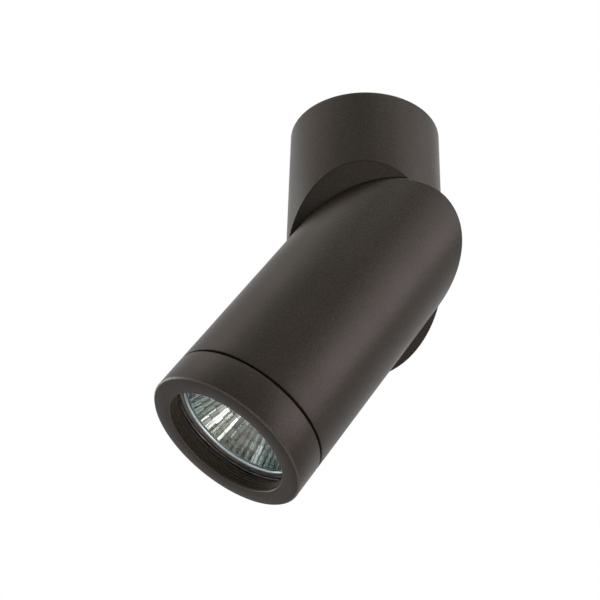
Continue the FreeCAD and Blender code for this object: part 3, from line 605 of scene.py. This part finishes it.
def thread_tree(material):
    """A ridge that winds round the head's axis, outwards or, with a negative rise, inwards."""
    tree = Tree("thread_ridge")
    middle, low, pitch, turns, half_width, rise = tree.values(
        "Float", "Middle radius", "Low", "Pitch", "Turns", "Half width", "Rise")
    path = tree.spiral(THREAD_STEPS, turns, middle, tree.sum("MULTIPLY", turns, pitch))
    upright = tree.node("GeometryNodeSetCurveNormal", {"Curve": path}, mode="Z_UP")
    section = tree.node("GeometryNodeCurvePrimitiveQuadrilateral", {
        "Bottom Width": tree.sum("MULTIPLY", half_width, 2.0),
        "Top Width": tree.sum("MULTIPLY", half_width, RIDGE_TOP_SHARE),
        "Height": tree.sum("ABSOLUTE", rise), "Offset": 0.0}, mode="TRAPEZOID")
    side = tree.sum("MULTIPLY", tree.sum("SIGN", rise), math.pi / 2)
    turned = tree.node("GeometryNodeTransform", {
        "Geometry": section.outputs[0], "Rotation": tree.vector(0.0, 0.0, side)})
    tree.end(tree.swept(upright.outputs[0], turned.outputs[0], low), material)
    return tree


def coil_tree(material):
    """A wound wire on the head's axis."""
    tree = Tree("filament_coil")
    radius, wire, length, turns, low = tree.values(
        "Float", "Coil radius", "Wire radius", "Length", "Turns", "Low")
    section = tree.node("GeometryNodeCurvePrimitiveCircle", {"Resolution": 6, "Radius": wire})
    path = tree.spiral(COIL_STEPS, turns, radius, length)
    tree.end(tree.swept(path, section.outputs[0], low), material)
    return tree


def facet_block(tree, bulge, thickness):
    """One mirror facet, a unit square that bulges a little across its width, with its thickness behind.

    The crown is 1 in the middle and falls to 0 half a unit to either side.
    """
    sheet = tree.node("GeometryNodeMeshGrid", {
        "Size X": 1.0, "Size Y": 1.0, "Vertices X": 5, "Vertices Y": 2})
    place = tree.node("ShaderNodeSeparateXYZ", {0: tree.node("GeometryNodeInputPosition").outputs[0]})
    out = place.outputs[0]
    marked = tree.node("GeometryNodeStoreNamedAttribute", data_type="FLOAT", domain="POINT", inputs={
        "Geometry": sheet.outputs["Mesh"], "Name": "facet_across", "Value": out})
    crown = tree.sum("MULTIPLY_ADD", tree.sum("MULTIPLY", out, out), -4.0, 1.0)
    height = tree.sum("MULTIPLY", bulge, crown)
    bent = tree.node("GeometryNodeSetPosition", {
        "Geometry": marked.outputs[0], "Offset": tree.vector(0.0, 0.0, height)})
    flipped = tree.node("GeometryNodeFlipFaces", {0: bent.outputs[0]})
    thick = tree.node("GeometryNodeExtrudeMesh", {
        "Mesh": flipped.outputs[0], "Individual": False,
        "Offset": tree.vector(0.0, 0.0, tree.sum("MULTIPLY", thickness, -1.0))}, mode="FACES")
    both = tree.node("GeometryNodeJoinGeometry", {0: thick.outputs["Mesh"]})
    feed(tree.group, both, {0: bent.outputs[0]})
    whole = tree.node("GeometryNodeMergeByDistance", {"Geometry": both.outputs[0], "Distance": WELD})
    return whole.outputs[0]


def facet_tree(material):
    """The mirror bowl: facets in even tiers round a parabola, each column and each facet tilted a little."""
    tree = Tree("facet_bowl")
    around, tiers, seed = tree.values("Int", "Facets round", "Tiers", "Seed")
    mouth, throat, front, depth, lean, tilt, bulge, thickness = tree.values(
        "Float", "Mouth radius", "Throat radius", "Front", "Depth", "Lean", "Tilt", "Bulge", "Thickness")

    grid = tree.node("GeometryNodeMeshGrid", {
        "Size X": 1.0, "Size Y": 1.0, "Vertices X": around, "Vertices Y": tiers})
    index = tree.node("GeometryNodeInputIndex").outputs[0]
    tier = tree.sum("MODULO", index, tiers)
    column = tree.sum("FLOOR", tree.sum("DIVIDE", tree.sum("ADD", index, 0.5), tiers))
    angle = tree.sum("MULTIPLY", tree.sum("DIVIDE", column, around), 2 * math.pi)
    share = tree.sum("DIVIDE", tree.sum("ADD", tier, 0.5), tiers)
    across = tree.sum("COSINE", angle)
    along = tree.sum("SINE", angle)

    throat_square = tree.sum("MULTIPLY", throat, throat)
    span = tree.sum("SUBTRACT", tree.sum("MULTIPLY", mouth, mouth), throat_square)
    radius = tree.sum("SQRT", tree.sum("MULTIPLY_ADD", span, tree.sum("SUBTRACT", 1.0, share), throat_square))
    slope = tree.sum("DIVIDE", tree.sum("DIVIDE", span, -2.0), tree.sum("MULTIPLY", radius, depth))
    place = tree.vector(tree.sum("MULTIPLY", radius, across), tree.sum("MULTIPLY", radius, along),
                        tree.sum("MULTIPLY_ADD", share, depth, front))
    wrap = tree.node("GeometryNodeSetPosition", {"Geometry": grid.outputs["Mesh"], "Position": place})

    inwards = tree.sum("MULTIPLY", across, -1.0)
    sideways = tree.sum("MULTIPLY", along, -1.0)
    aimed = tree.node("FunctionNodeAxesToRotation", primary_axis="Z", secondary_axis="X", inputs={
        0: tree.vector(inwards, sideways, slope), 1: tree.vector(sideways, across)})
    chances = []
    for identity, part in zip((column, index), TILT_SHARES):
        chance = tree.node("FunctionNodeRandomValue", data_type="FLOAT_VECTOR", inputs={
            0: tree.sum("MULTIPLY", tilt, -part), 1: tree.sum("MULTIPLY", tilt, part),
            "ID": identity, "Seed": seed})
        chances.append(chance.outputs[0])
    both = tree.node("ShaderNodeVectorMath", dict(enumerate(chances)), operation="ADD")
    towards_mouth = tree.vector(tree.sum("MULTIPLY", lean, -1.0))
    rotation = aimed.outputs[0]
    for angles in (towards_mouth, both.outputs[0]):
        turn = tree.node("FunctionNodeEulerToRotation", {0: angles})
        turned = tree.node("FunctionNodeRotateRotation", rotation_space="LOCAL", inputs={
            0: rotation, 1: turn.outputs[0]})
        rotation = turned.outputs[0]

    width = tree.sum("MULTIPLY", tree.sum("DIVIDE", radius, around), 2 * math.pi * FACET_OVERLAP)
    stretch = tree.sum("SQRT", tree.sum("MULTIPLY_ADD", slope, slope, 1.0))
    length = tree.sum("MULTIPLY", tree.sum("DIVIDE", depth, tiers), stretch)
    spread = tree.node("GeometryNodeInstanceOnPoints", {
        "Points": wrap.outputs[0], "Instance": facet_block(tree, bulge, thickness),
        "Rotation": rotation, "Scale": tree.vector(width, length, 1.0)})
    # Each facet's random brightness, a painted reflection, is stored for the mirror's colour
    shades = []
    for identity, part in zip((column, index), SHADE_SHARES):
        shade = tree.node("FunctionNodeRandomValue", data_type="FLOAT", inputs={
            "ID": identity, "Seed": tree.sum("ADD", seed, SHADE_SEED_STEP)})
        shades.append(tree.sum("MULTIPLY", shade.outputs[1], part))
    marked = tree.node("GeometryNodeStoreNamedAttribute", data_type="FLOAT", domain="INSTANCE", inputs={
        "Geometry": spread.outputs[0], "Name": "facet_painted_reflection", "Value": tree.sum("ADD", *shades)})
    tree.end(marked.outputs[0], material)
    return tree


# Materials. The scales of the noises are per metre, so that 1500 gives grains of about 0.7 mm. Most of
# what a noise gives lies in NOISE_SPAN.

NOISE_SPAN = (0.3, 0.7)


def srgb(red, green, blue):
    """A colour written in screen values, turned into the linear values that shaders take."""
    linear = []
    for part in (red, green, blue):
        share = part / 255.0
        linear.append(share / 12.92 if share <= 0.04045 else ((share + 0.055) / 1.055) ** 2.4)
    return (*linear, 1.0)


def shaded(colour, share):
    """A colour made darker or lighter by a share."""
    return tuple(part * share for part in colour[:3]) + (1.0,)


class Finish:
    """A material with a shader, and short ways to add texture nodes to it."""

    def __init__(self, name, colour, roughness, metallic=0.0):
        self.material = bpy.data.materials.new(name)
        self.material.use_nodes = True
        self.tree = self.material.node_tree
        self.shader = self.tree.nodes["Principled BSDF"]
        self.give({"Base Color": colour, "Roughness": roughness, "Metallic": metallic})
        self.place = self.node("ShaderNodeTexCoord").outputs["Object"]
        self.last_bump = None

    def node(self, kind, inputs=None, **settings):
        return add_node(self.tree, kind, inputs, **settings)

    def give(self, inputs):
        """Gives inputs of the shader."""
        feed(self.tree, self.shader, inputs)

    def noise(self, scale, detail=2.0, roughness=0.5, place=None):
        return self.node("ShaderNodeTexNoise", {
            "Scale": scale, "Detail": detail, "Roughness": roughness,
            "Vector": place or self.place}).outputs[0]

    def stretched(self, scale):
        """Object coordinates, scaled along each axis."""
        return self.node("ShaderNodeMapping", {"Scale": scale, "Vector": self.place}).outputs[0]

    def steps(self, source, *stops):
        """A colour ramp from (place, colour) stops."""
        made = self.node("ShaderNodeValToRGB", {0: source})
        ramp = made.color_ramp
        ramp.elements[0].position, ramp.elements[0].color = stops[0]
        ramp.elements[1].position, ramp.elements[1].color = stops[-1]
        for position, colour in stops[1:-1]:
            ramp.elements.new(position).color = colour
        return made.outputs[0]

    def ranged(self, source, low, high, start=0.0, end=1.0):
        """A number brought from one range into another."""
        return self.node("ShaderNodeMapRange", {
            "Value": source, "From Min": start, "From Max": end, "To Min": low, "To Max": high}).outputs[0]

    def bump(self, source, height, strength):
        """Bumps laid over those that the shader has already."""
        made = self.node("ShaderNodeBump", {"Strength": strength, "Distance": height, "Height": source})
        if self.last_bump is not None:
            feed(self.tree, made, {"Normal": self.last_bump})
        self.last_bump = made.outputs[0]
        self.give({"Normal": self.last_bump})


def powder_coat(name, dark, pale, roughness, grain):
    """Satin powder coat: a fine pebbled skin with small pale flecks, over a deep brown."""
    finish = Finish(name, dark, roughness)
    pebble = finish.noise(1500.0, roughness=0.6)
    cloud = finish.noise(60.0, detail=3.0, roughness=0.55)
    fleck = finish.noise(2300.0, roughness=0.6)
    finish.give({
        "Specular IOR Level": 0.2,
        "Base Color": finish.steps(fleck, (0.3, shaded(dark, 0.75)), (0.5, dark), (0.72, pale)),
        "Roughness": finish.ranged(cloud, roughness - 0.03, roughness + 0.04, *NOISE_SPAN)})
    finish.bump(cloud, height=0.06 * MM, strength=0.2)
    finish.bump(pebble, height=grain, strength=0.8)
    return finish.material


def plated(name, colour, roughness):
    """Plated or bare metal with fine drawn lines and slightly uneven gloss."""
    finish = Finish(name, colour, roughness, 1.0)
    lines = finish.noise(700.0, detail=3.0, roughness=0.6, place=finish.stretched((1.0, 1.0, 7.0)))
    cloud = finish.noise(160.0, detail=3.0, roughness=0.6)
    finish.give({
        "Base Color": finish.steps(cloud, (0.3, shaded(colour, 0.8)), (0.7, colour)),
        "Roughness": finish.ranged(lines, roughness - 0.07, roughness + 0.1, *NOISE_SPAN)})
    finish.bump(lines, height=0.01 * MM, strength=0.5)
    return finish.material


def moulded(name, colour, roughness, grain):
    """Moulded plastic, rubber or ceramic with a faint skin."""
    finish = Finish(name, colour, roughness)
    skin = finish.noise(1800.0, roughness=0.55)
    cloud = finish.noise(220.0, detail=3.0, roughness=0.6)
    finish.give({
        "Base Color": finish.steps(cloud, (0.3, shaded(colour, 0.86)), (0.72, colour)),
        "Roughness": finish.ranged(skin, roughness - 0.05, roughness + 0.06, *NOISE_SPAN)})
    finish.bump(skin, height=grain, strength=0.5)
    return finish.material


def woven_sleeve(name, colour):
    """A braided sleeve: two crossing sets of fine bands."""
    finish = Finish(name, colour, 0.75)
    waves = []
    for direction in ((1.0, 1.0, 0.6), (-1.0, 1.0, -0.6)):
        band = finish.node("ShaderNodeTexWave", wave_type="BANDS", bands_direction="DIAGONAL", inputs={
            "Scale": 420.0, "Distortion": 0.6, "Vector": finish.stretched(direction)})
        waves.append(band.outputs["Fac"])
    cross = finish.node("ShaderNodeMath", dict(enumerate(waves)), operation="MAXIMUM").outputs[0]
    finish.give({"Base Color": finish.steps(cross, (0.2, shaded(colour, 0.6)), (0.9, colour))})
    finish.bump(cross, height=0.08 * MM, strength=0.6)
    return finish.material


def clear_glass(name, tint, index=1.3, roughness=0.0, clearness=1.0):
    """Clear or pressed glass, a little uneven, bloomed so that it mirrors little.

    Where it is wholly clear it also lets the lamps light what is behind it.
    """
    finish = Finish(name, tint, roughness)
    finish.give({
        "Transmission Weight": clearness, "Specular IOR Level": 0.06,
        "Specular Tint": (0.1, 0.1, 0.12, 1.0), "IOR": index,
        "Roughness": finish.ranged(finish.noise(60.0), roughness, roughness + 0.012, 0.35, 0.75)})
    if clearness == 1.0:
        path = finish.node("ShaderNodeLightPath")
        open_way = finish.node("ShaderNodeBsdfTransparent", {"Color": (0.9, 0.9, 0.9, 1.0)})
        either = finish.node("ShaderNodeMixShader", {
            0: path.outputs["Is Shadow Ray"], 1: finish.shader.outputs[0], 2: open_way.outputs[0]})
        feed(finish.tree, finish.tree.nodes["Material Output"], {"Surface": either.outputs[0]})
    return finish.material


# The mirror's colours by facet, as (place, screen values): silver seen squarely, teal at a slant, and a
# painted streak of reflection across each facet. SLANT_SPAN is how far a facet is turned away where silver
# ends and where teal is full.

SLANT_SPAN = (0.06, 0.26)
PAINTED_STREAK_SHIFT = 0.7
MIRROR_GLOSS = (0.03, 0.07)
SILVER_STOPS = ((0.1, (120, 120, 112)), (0.35, (168, 170, 158)), (0.6, (196, 198, 188)),
                (0.78, (232, 232, 226)), (0.95, (252, 252, 250)))
TEAL_STOPS = ((0.1, (146, 176, 167)), (0.35, (176, 208, 197)), (0.62, (192, 224, 214)),
              (0.8, (222, 242, 238)), (0.95, (240, 252, 250)))
PAINTED_STREAK_STOPS = ((0.0, 172), (0.2, 218), (0.36, 255), (0.5, 226), (0.66, 172), (0.8, 246), (1.0, 186))


def mirror_coat(name):
    """The lamp's mirror: silver where it is looked at squarely, green and blue-grey where it slants away,
    with painted reflection in each facet's random brightness and streak.
    """
    finish = Finish(name, srgb(150, 152, 144), 0.1, 0.75)
    shade = finish.node("ShaderNodeAttribute", attribute_name="facet_painted_reflection").outputs["Fac"]
    across = finish.node("ShaderNodeAttribute", attribute_name="facet_across").outputs["Fac"]
    silver, teal = (finish.steps(shade, *((place, srgb(*colour)) for place, colour in stops))
                    for stops in (SILVER_STOPS, TEAL_STOPS))
    facing = finish.node("ShaderNodeLayerWeight", {"Blend": 0.5}).outputs["Facing"]
    slant = finish.ranged(facing, 0.0, 1.0, *SLANT_SPAN)
    mixed = finish.node("ShaderNodeMix", data_type="RGBA", inputs={0: slant, 6: silver, 7: teal})
    # A painted streak of reflection across each facet, placed by its random brightness
    streak_place = finish.node("ShaderNodeMath", {0: shade, 1: PAINTED_STREAK_SHIFT, 2: across}, operation="MULTIPLY_ADD")
    greys = ((place, srgb(grey, grey, grey)) for place, grey in PAINTED_STREAK_STOPS)
    painted_streaks = finish.steps(streak_place.outputs[0], *greys)
    streaked = finish.node("ShaderNodeMix", data_type="RGBA", blend_type="MULTIPLY", inputs={
        0: 1.0, 6: mixed.outputs[2], 7: painted_streaks})
    finish.give({"Base Color": streaked.outputs[2],
                 "Roughness": finish.ranged(finish.noise(900.0), *MIRROR_GLOSS, *NOISE_SPAN)})
    return finish.material


FINISHES = {
    "paint": powder_coat("bronze_powder_coat", srgb(38, 32, 24), srgb(60, 51, 41), 0.34, 0.09 * MM),
    # Painted highlight: a paler coat for the chamfered edges and rib crests
    "painted_highlight_edges": powder_coat("painted_highlight_on_edges", srgb(84, 76, 69), srgb(112, 102, 94), 0.36, 0.04 * MM),
    # Painted shade: a dark coat for the base's cut edge, where its rounding shows dark
    "painted_shade_edge": powder_coat("painted_shade_on_cut_edge", srgb(20, 16, 11), srgb(34, 28, 22), 0.5, 0.03 * MM),
    # Painted light: a coat paler than the outer one, brightening the bore's walls
    "bore_painted_light": powder_coat("bore_coat_painted_light", srgb(66, 60, 49), srgb(98, 90, 77), 0.4, 0.05 * MM),
    "bare_wall": moulded("bare_turned_wall", srgb(168, 162, 154), 0.4, 0.01 * MM),
    "zinc": plated("zinc_plate", srgb(176, 178, 180), 0.34),
    "steel": plated("plated_steel", srgb(188, 188, 186), 0.28),
    "dull_steel": plated("dull_spring_steel", srgb(118, 113, 113), 0.38),
    "black_steel": plated("blackened_steel", srgb(46, 45, 44), 0.42),
    "brass": plated("brass", srgb(196, 164, 96), 0.3),
    # The gasket's silicone is a paler grey than the black rubber
    "grey_rubber": moulded("grey_silicone", srgb(74, 70, 62), 0.6, 0.02 * MM),
    "rubber": moulded("black_silicone", srgb(26, 25, 25), 0.6, 0.02 * MM),
    "white_plastic": moulded("white_moulding", srgb(226, 225, 218), 0.42, 0.01 * MM),
    "black_plastic": moulded("black_moulding", srgb(30, 30, 30), 0.45, 0.01 * MM),
    "ceramic": moulded("off_white_ceramic", srgb(228, 224, 212), 0.55, 0.02 * MM),
    "sleeve": woven_sleeve("woven_sleeve", srgb(218, 212, 194)),
    "wire": moulded("wire_cover", srgb(150, 96, 70), 0.5, 0.01 * MM),
    "glass": clear_glass("clear_glass", srgb(250, 253, 253)),
    "thin_glass": clear_glass("lamp_cover_glass", srgb(250, 253, 253), 1.2),
    "lamp_glass": clear_glass("pressed_lamp_glass", srgb(226, 242, 246), 1.46, 0.1, 0.1),
    "lamp_rim": plated("silvered_lamp_rim", srgb(240, 248, 252), 0.36),
    "mirror": mirror_coat("dichroic_mirror"),
    "tungsten": plated("tungsten", srgb(120, 118, 116), 0.5),
}

NODE_FINISHES = {
    "ceiling_bracket": "zinc", "cable_bush": "rubber", "bracket_earth_screw": "brass",
    "bracket_earth_washer": "brass", "base_housing": "paint", "grub_screws": "black_steel",
    "terminal_block": "white_plastic", "terminal_sleeves": "brass", "terminal_clamp_screws": "steel",
    "terminal_block_screws": "steel", "swivel_stop_pin": "steel", "friction_washer": "black_plastic",
    "base_lead_sheath": "sleeve", "base_lead_wires": "wire", "swivel_tube": "steel",
    "swivel_base_nut": "steel", "swivel_head_nut": "steel", "thrust_washer": "white_plastic",
    "disc_springs": "steel", "tube_bushes": "black_plastic", "head_housing": "paint",
    "lamp_carrier": "zinc", "carrier_screws": "steel", "lampholder": "ceramic", "holder_screws": "steel",
    "lamp_contacts": "brass", "lamp_reflector": "lamp_glass", "lamp_cover_glass": "thin_glass",
    "lamp_cap": "ceramic", "lamp_pins": "steel", "lamp_capsule": "glass", "lamp_filament": "tungsten",
    "head_lead_sheath": "sleeve", "head_lead_wires": "wire", "head_earth_wire": "wire",
    "head_earth_tag": "brass", "head_earth_screw": "steel", "front_glass": "glass",
    "glass_gasket": "rubber", "bezel_ring": "paint", "bezel_seal": "rubber",
    "glass_retaining_ring": "dull_steel",
}


def dress_nodes():
    """Gives each CAD piece its finish, also those that finer pieces then replace."""
    for name, finish in NODE_FINISHES.items():
        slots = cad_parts[name].data.materials
        slots.clear()
        slots.append(FINISHES[finish])


def coat(piece, finish, body):
    """Gives a piece its finish where it has none yet, and its body."""
    if not piece.data.materials:
        piece.data.materials.append(FINISHES[finish])
    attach(piece, body)


# Putting it together

dress_nodes()

base = make_base()
smooth_below(base, TUBE_CREASE)
coat(base, "paint", "base")
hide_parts("base_housing")

head = make_head()
smooth_below(head, TUBE_CREASE)
coat(head, "paint", "head")
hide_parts("head_housing")

bezel = make_bezel()
smooth_below(bezel, TUBE_CREASE)
coat(bezel, "paint", "bezel")
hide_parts("bezel_ring")

glass = turned_ring("front_glass_disc", GLASS_RADIUS, 0.0, GLASS_FRONT, GLASS_BACK, GLASS_ROUND)
smooth_below(glass, RING_CREASE)
coat(glass, "glass", "front_glass")
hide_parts("front_glass")

gasket = turned_ring("gasket_ring", GLASS_RADIUS, GASKET_BORE, LEDGE_SET, GLASS_FRONT, THIN_ROUND)
smooth_below(gasket, RING_CREASE)
coat(gasket, "grey_rubber", "front_glass")
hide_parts("glass_gasket")

cover = turned_ring("lamp_cover_disc", MIRROR_MOUTH + COVER_LIP - COVER_PLAY, 0.0,
                    LAMP_FRONT + COVER_SET, LAMP_FRONT + MIRROR_SEAT, THIN_ROUND)
smooth_below(cover, RING_CREASE)
coat(cover, "thin_glass", "head")
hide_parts("lamp_cover_glass")

outer_thread = grow("bezel_thread", thread_tree(FINISHES["paint"]), {
    "Middle radius": SPIGOT_RADIUS - OUTER_RIDGE_SET, "Low": HEAD_FRONT + OUTER_RIDGE_START,
    "Pitch": THREAD_PITCH, "Turns": OUTER_RIDGE_TURNS, "Half width": RIDGE_HALF, "Rise": RIDGE_RISE})
coat(outer_thread, "paint", "bezel")

inner_thread = grow("head_thread", thread_tree(FINISHES["paint"]), {
    "Middle radius": BODY_BORE - INNER_RIDGE_SET, "Low": HEAD_FRONT + INNER_RIDGE_START,
    "Pitch": THREAD_PITCH, "Turns": INNER_RIDGE_TURNS, "Half width": RIDGE_HALF, "Rise": -RIDGE_RISE})
coat(inner_thread, "paint", "head")

lamp_glass = make_lamp_glass()
smooth_below(lamp_glass, LAMP_CREASE)
coat(lamp_glass, "lamp_glass", "head")
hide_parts("lamp_reflector")

mirror = grow("mirror_facets", facet_tree(FINISHES["mirror"]), {
    "Facets round": FACETS_ROUND, "Tiers": FACET_TIERS, "Mouth radius": MIRROR_MOUTH,
    "Throat radius": MIRROR_THROAT, "Front": LAMP_FRONT + MIRROR_SEAT, "Depth": MIRROR_DEPTH - MIRROR_SEAT,
    "Lean": FACET_LEAN, "Tilt": FACET_TILT, "Bulge": FACET_BULGE, "Thickness": FACET_THICKNESS,
    "Seed": FACET_SEED})
coat(mirror, "mirror", "head")

coil = grow("filament_coil", coil_tree(FINISHES["tungsten"]), {
    "Coil radius": COIL_RADIUS, "Wire radius": COIL_WIRE, "Low": LAMP_FRONT + COIL_START,
    "Length": COIL_LENGTH, "Turns": COIL_TURNS})
coat(coil, "tungsten", "head")
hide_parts("lamp_filament")

legs = make_filament_legs()
coat(legs, "tungsten", "head")


# Stage, light and camera

STAGE_SIZE = 6.0
STAGE_HEIGHT = -1.2
STAGE_GLOW = 0.3
MIRRORED_SHARE = 0.69
WORLD_LIGHT = 0.38
WORLD_SEEN = 1.0
LIGHT_AIM = Vector((-0.015, -0.005, -0.085))
SENSOR_WIDTH = 36.0
LENS = 72.99
CAMERA_PLACE = Vector((-0.002845, -0.409867, -0.328583))
CAMERA_RIGHT = Vector((0.99889, 0.03649, 0.02981))
CAMERA_UP = Vector((-0.00657, -0.51855, 0.85502))
CAMERA_FORWARD = Vector((-0.04666, 0.85427, 0.51773))


def where_seen(tree):
    """A socket that is 1 where a surface is seen or looked at through glass, less where it is mirrored,
    and 0 as light."""
    path = add_node(tree, "ShaderNodeLightPath")
    total = path.outputs["Is Camera Ray"]
    for ray, share in (("Is Transmission Ray", 1.0), ("Is Glossy Ray", MIRRORED_SHARE)):
        part = add_node(tree, "ShaderNodeMath", {0: path.outputs[ray], 1: share}, operation="MULTIPLY")
        larger = add_node(tree, "ShaderNodeMath", {0: total, 1: part.outputs[0]}, operation="MAXIMUM")
        total = larger.outputs[0]
    return total


def add_floor():
    """A plain pale floor that shows a little brighter than it lights, and keeps its shadow."""
    bpy.ops.mesh.primitive_plane_add(size=STAGE_SIZE, location=(0.0, 0.0, STAGE_HEIGHT))
    floor = bpy.context.object
    floor.name = "floor"
    finish = Finish("pale_floor", srgb(218, 212, 212), 0.7)
    finish.bump(finish.noise(90.0, detail=3.0), height=0.2 * MM, strength=0.2)
    finish.give({"Emission Color": (1.0, 0.95, 0.95, 1.0),
                 "Emission Strength": finish.ranged(where_seen(finish.tree), 0.0, STAGE_GLOW)})
    floor.data.materials.append(finish.material)


def white_surroundings():
    """A plain world: white where it is seen or looked at through glass, softer mirrored and as light."""
    world = bpy.data.worlds.new("surroundings")
    bpy.context.scene.world = world
    world.use_nodes = True
    tree = world.node_tree
    level = add_node(tree, "ShaderNodeMapRange", {
        "Value": where_seen(tree), "To Min": WORLD_LIGHT, "To Max": WORLD_SEEN})
    feed(tree, tree.nodes["Background"], {"Color": (1.0, 1.0, 1.0, 1.0), "Strength": level.outputs[0]})


def soft_box(name, offset, width, power, colour):
    """A large square soft lamp at an offset from the middle of the fixture, which it faces."""
    data = bpy.data.lights.new(name, "AREA")
    data.shape = "SQUARE"
    data.size = width
    data.energy = power
    data.color = colour
    lamp = new_object(name, data)
    lamp.visible_camera = False
    away = Vector(offset).normalized()
    up = (Vector((0.0, 0.0, 1.0)) - away * away.z).normalized()
    place = Matrix((up.cross(away), up, away)).transposed().to_4x4()
    place.translation = LIGHT_AIM + Vector(offset)
    lamp.matrix_world = place


def add_camera():
    """The camera of the photograph, as solved from its edges."""
    data = bpy.data.cameras.new("camera")
    data.sensor_width = SENSOR_WIDTH
    data.lens = LENS
    camera = new_object("camera", data)
    matrix = Matrix((CAMERA_RIGHT, CAMERA_UP, -CAMERA_FORWARD)).transposed().to_4x4()
    matrix.translation = CAMERA_PLACE
    camera.matrix_world = matrix
    bpy.context.scene.camera = camera


add_floor()
white_surroundings()
soft_box("right_box", (0.928, -0.249, 0.276), 0.9, 5.3, (1.0, 0.91, 0.92))
soft_box("lower_right_box", (0.961, -0.257, -0.105), 0.6, 2.45, (1.0, 0.8, 0.86))
soft_box("low_front_box", (0.27, -0.553, -0.788), 0.42, 1.4, (1.0, 0.95, 0.89))
soft_box("left_box", (-0.928, 0.249, 0.276), 0.6, 5.9, (1.0, 0.99, 0.97))
soft_box("upper_left_box", (-0.621, -0.166, 0.766), 0.6, 0.95, (1.0, 0.8, 0.72))
soft_box("top_left_box", (-0.332, -0.332, 0.883), 0.6, 0.95, (1.0, 0.92, 0.76))
soft_box("top_right_box", (0.332, -0.332, 0.883), 0.6, 1.75, (1.0, 0.99, 0.88))
add_camera()
bpy.context.scene.view_settings.view_transform = "Standard"
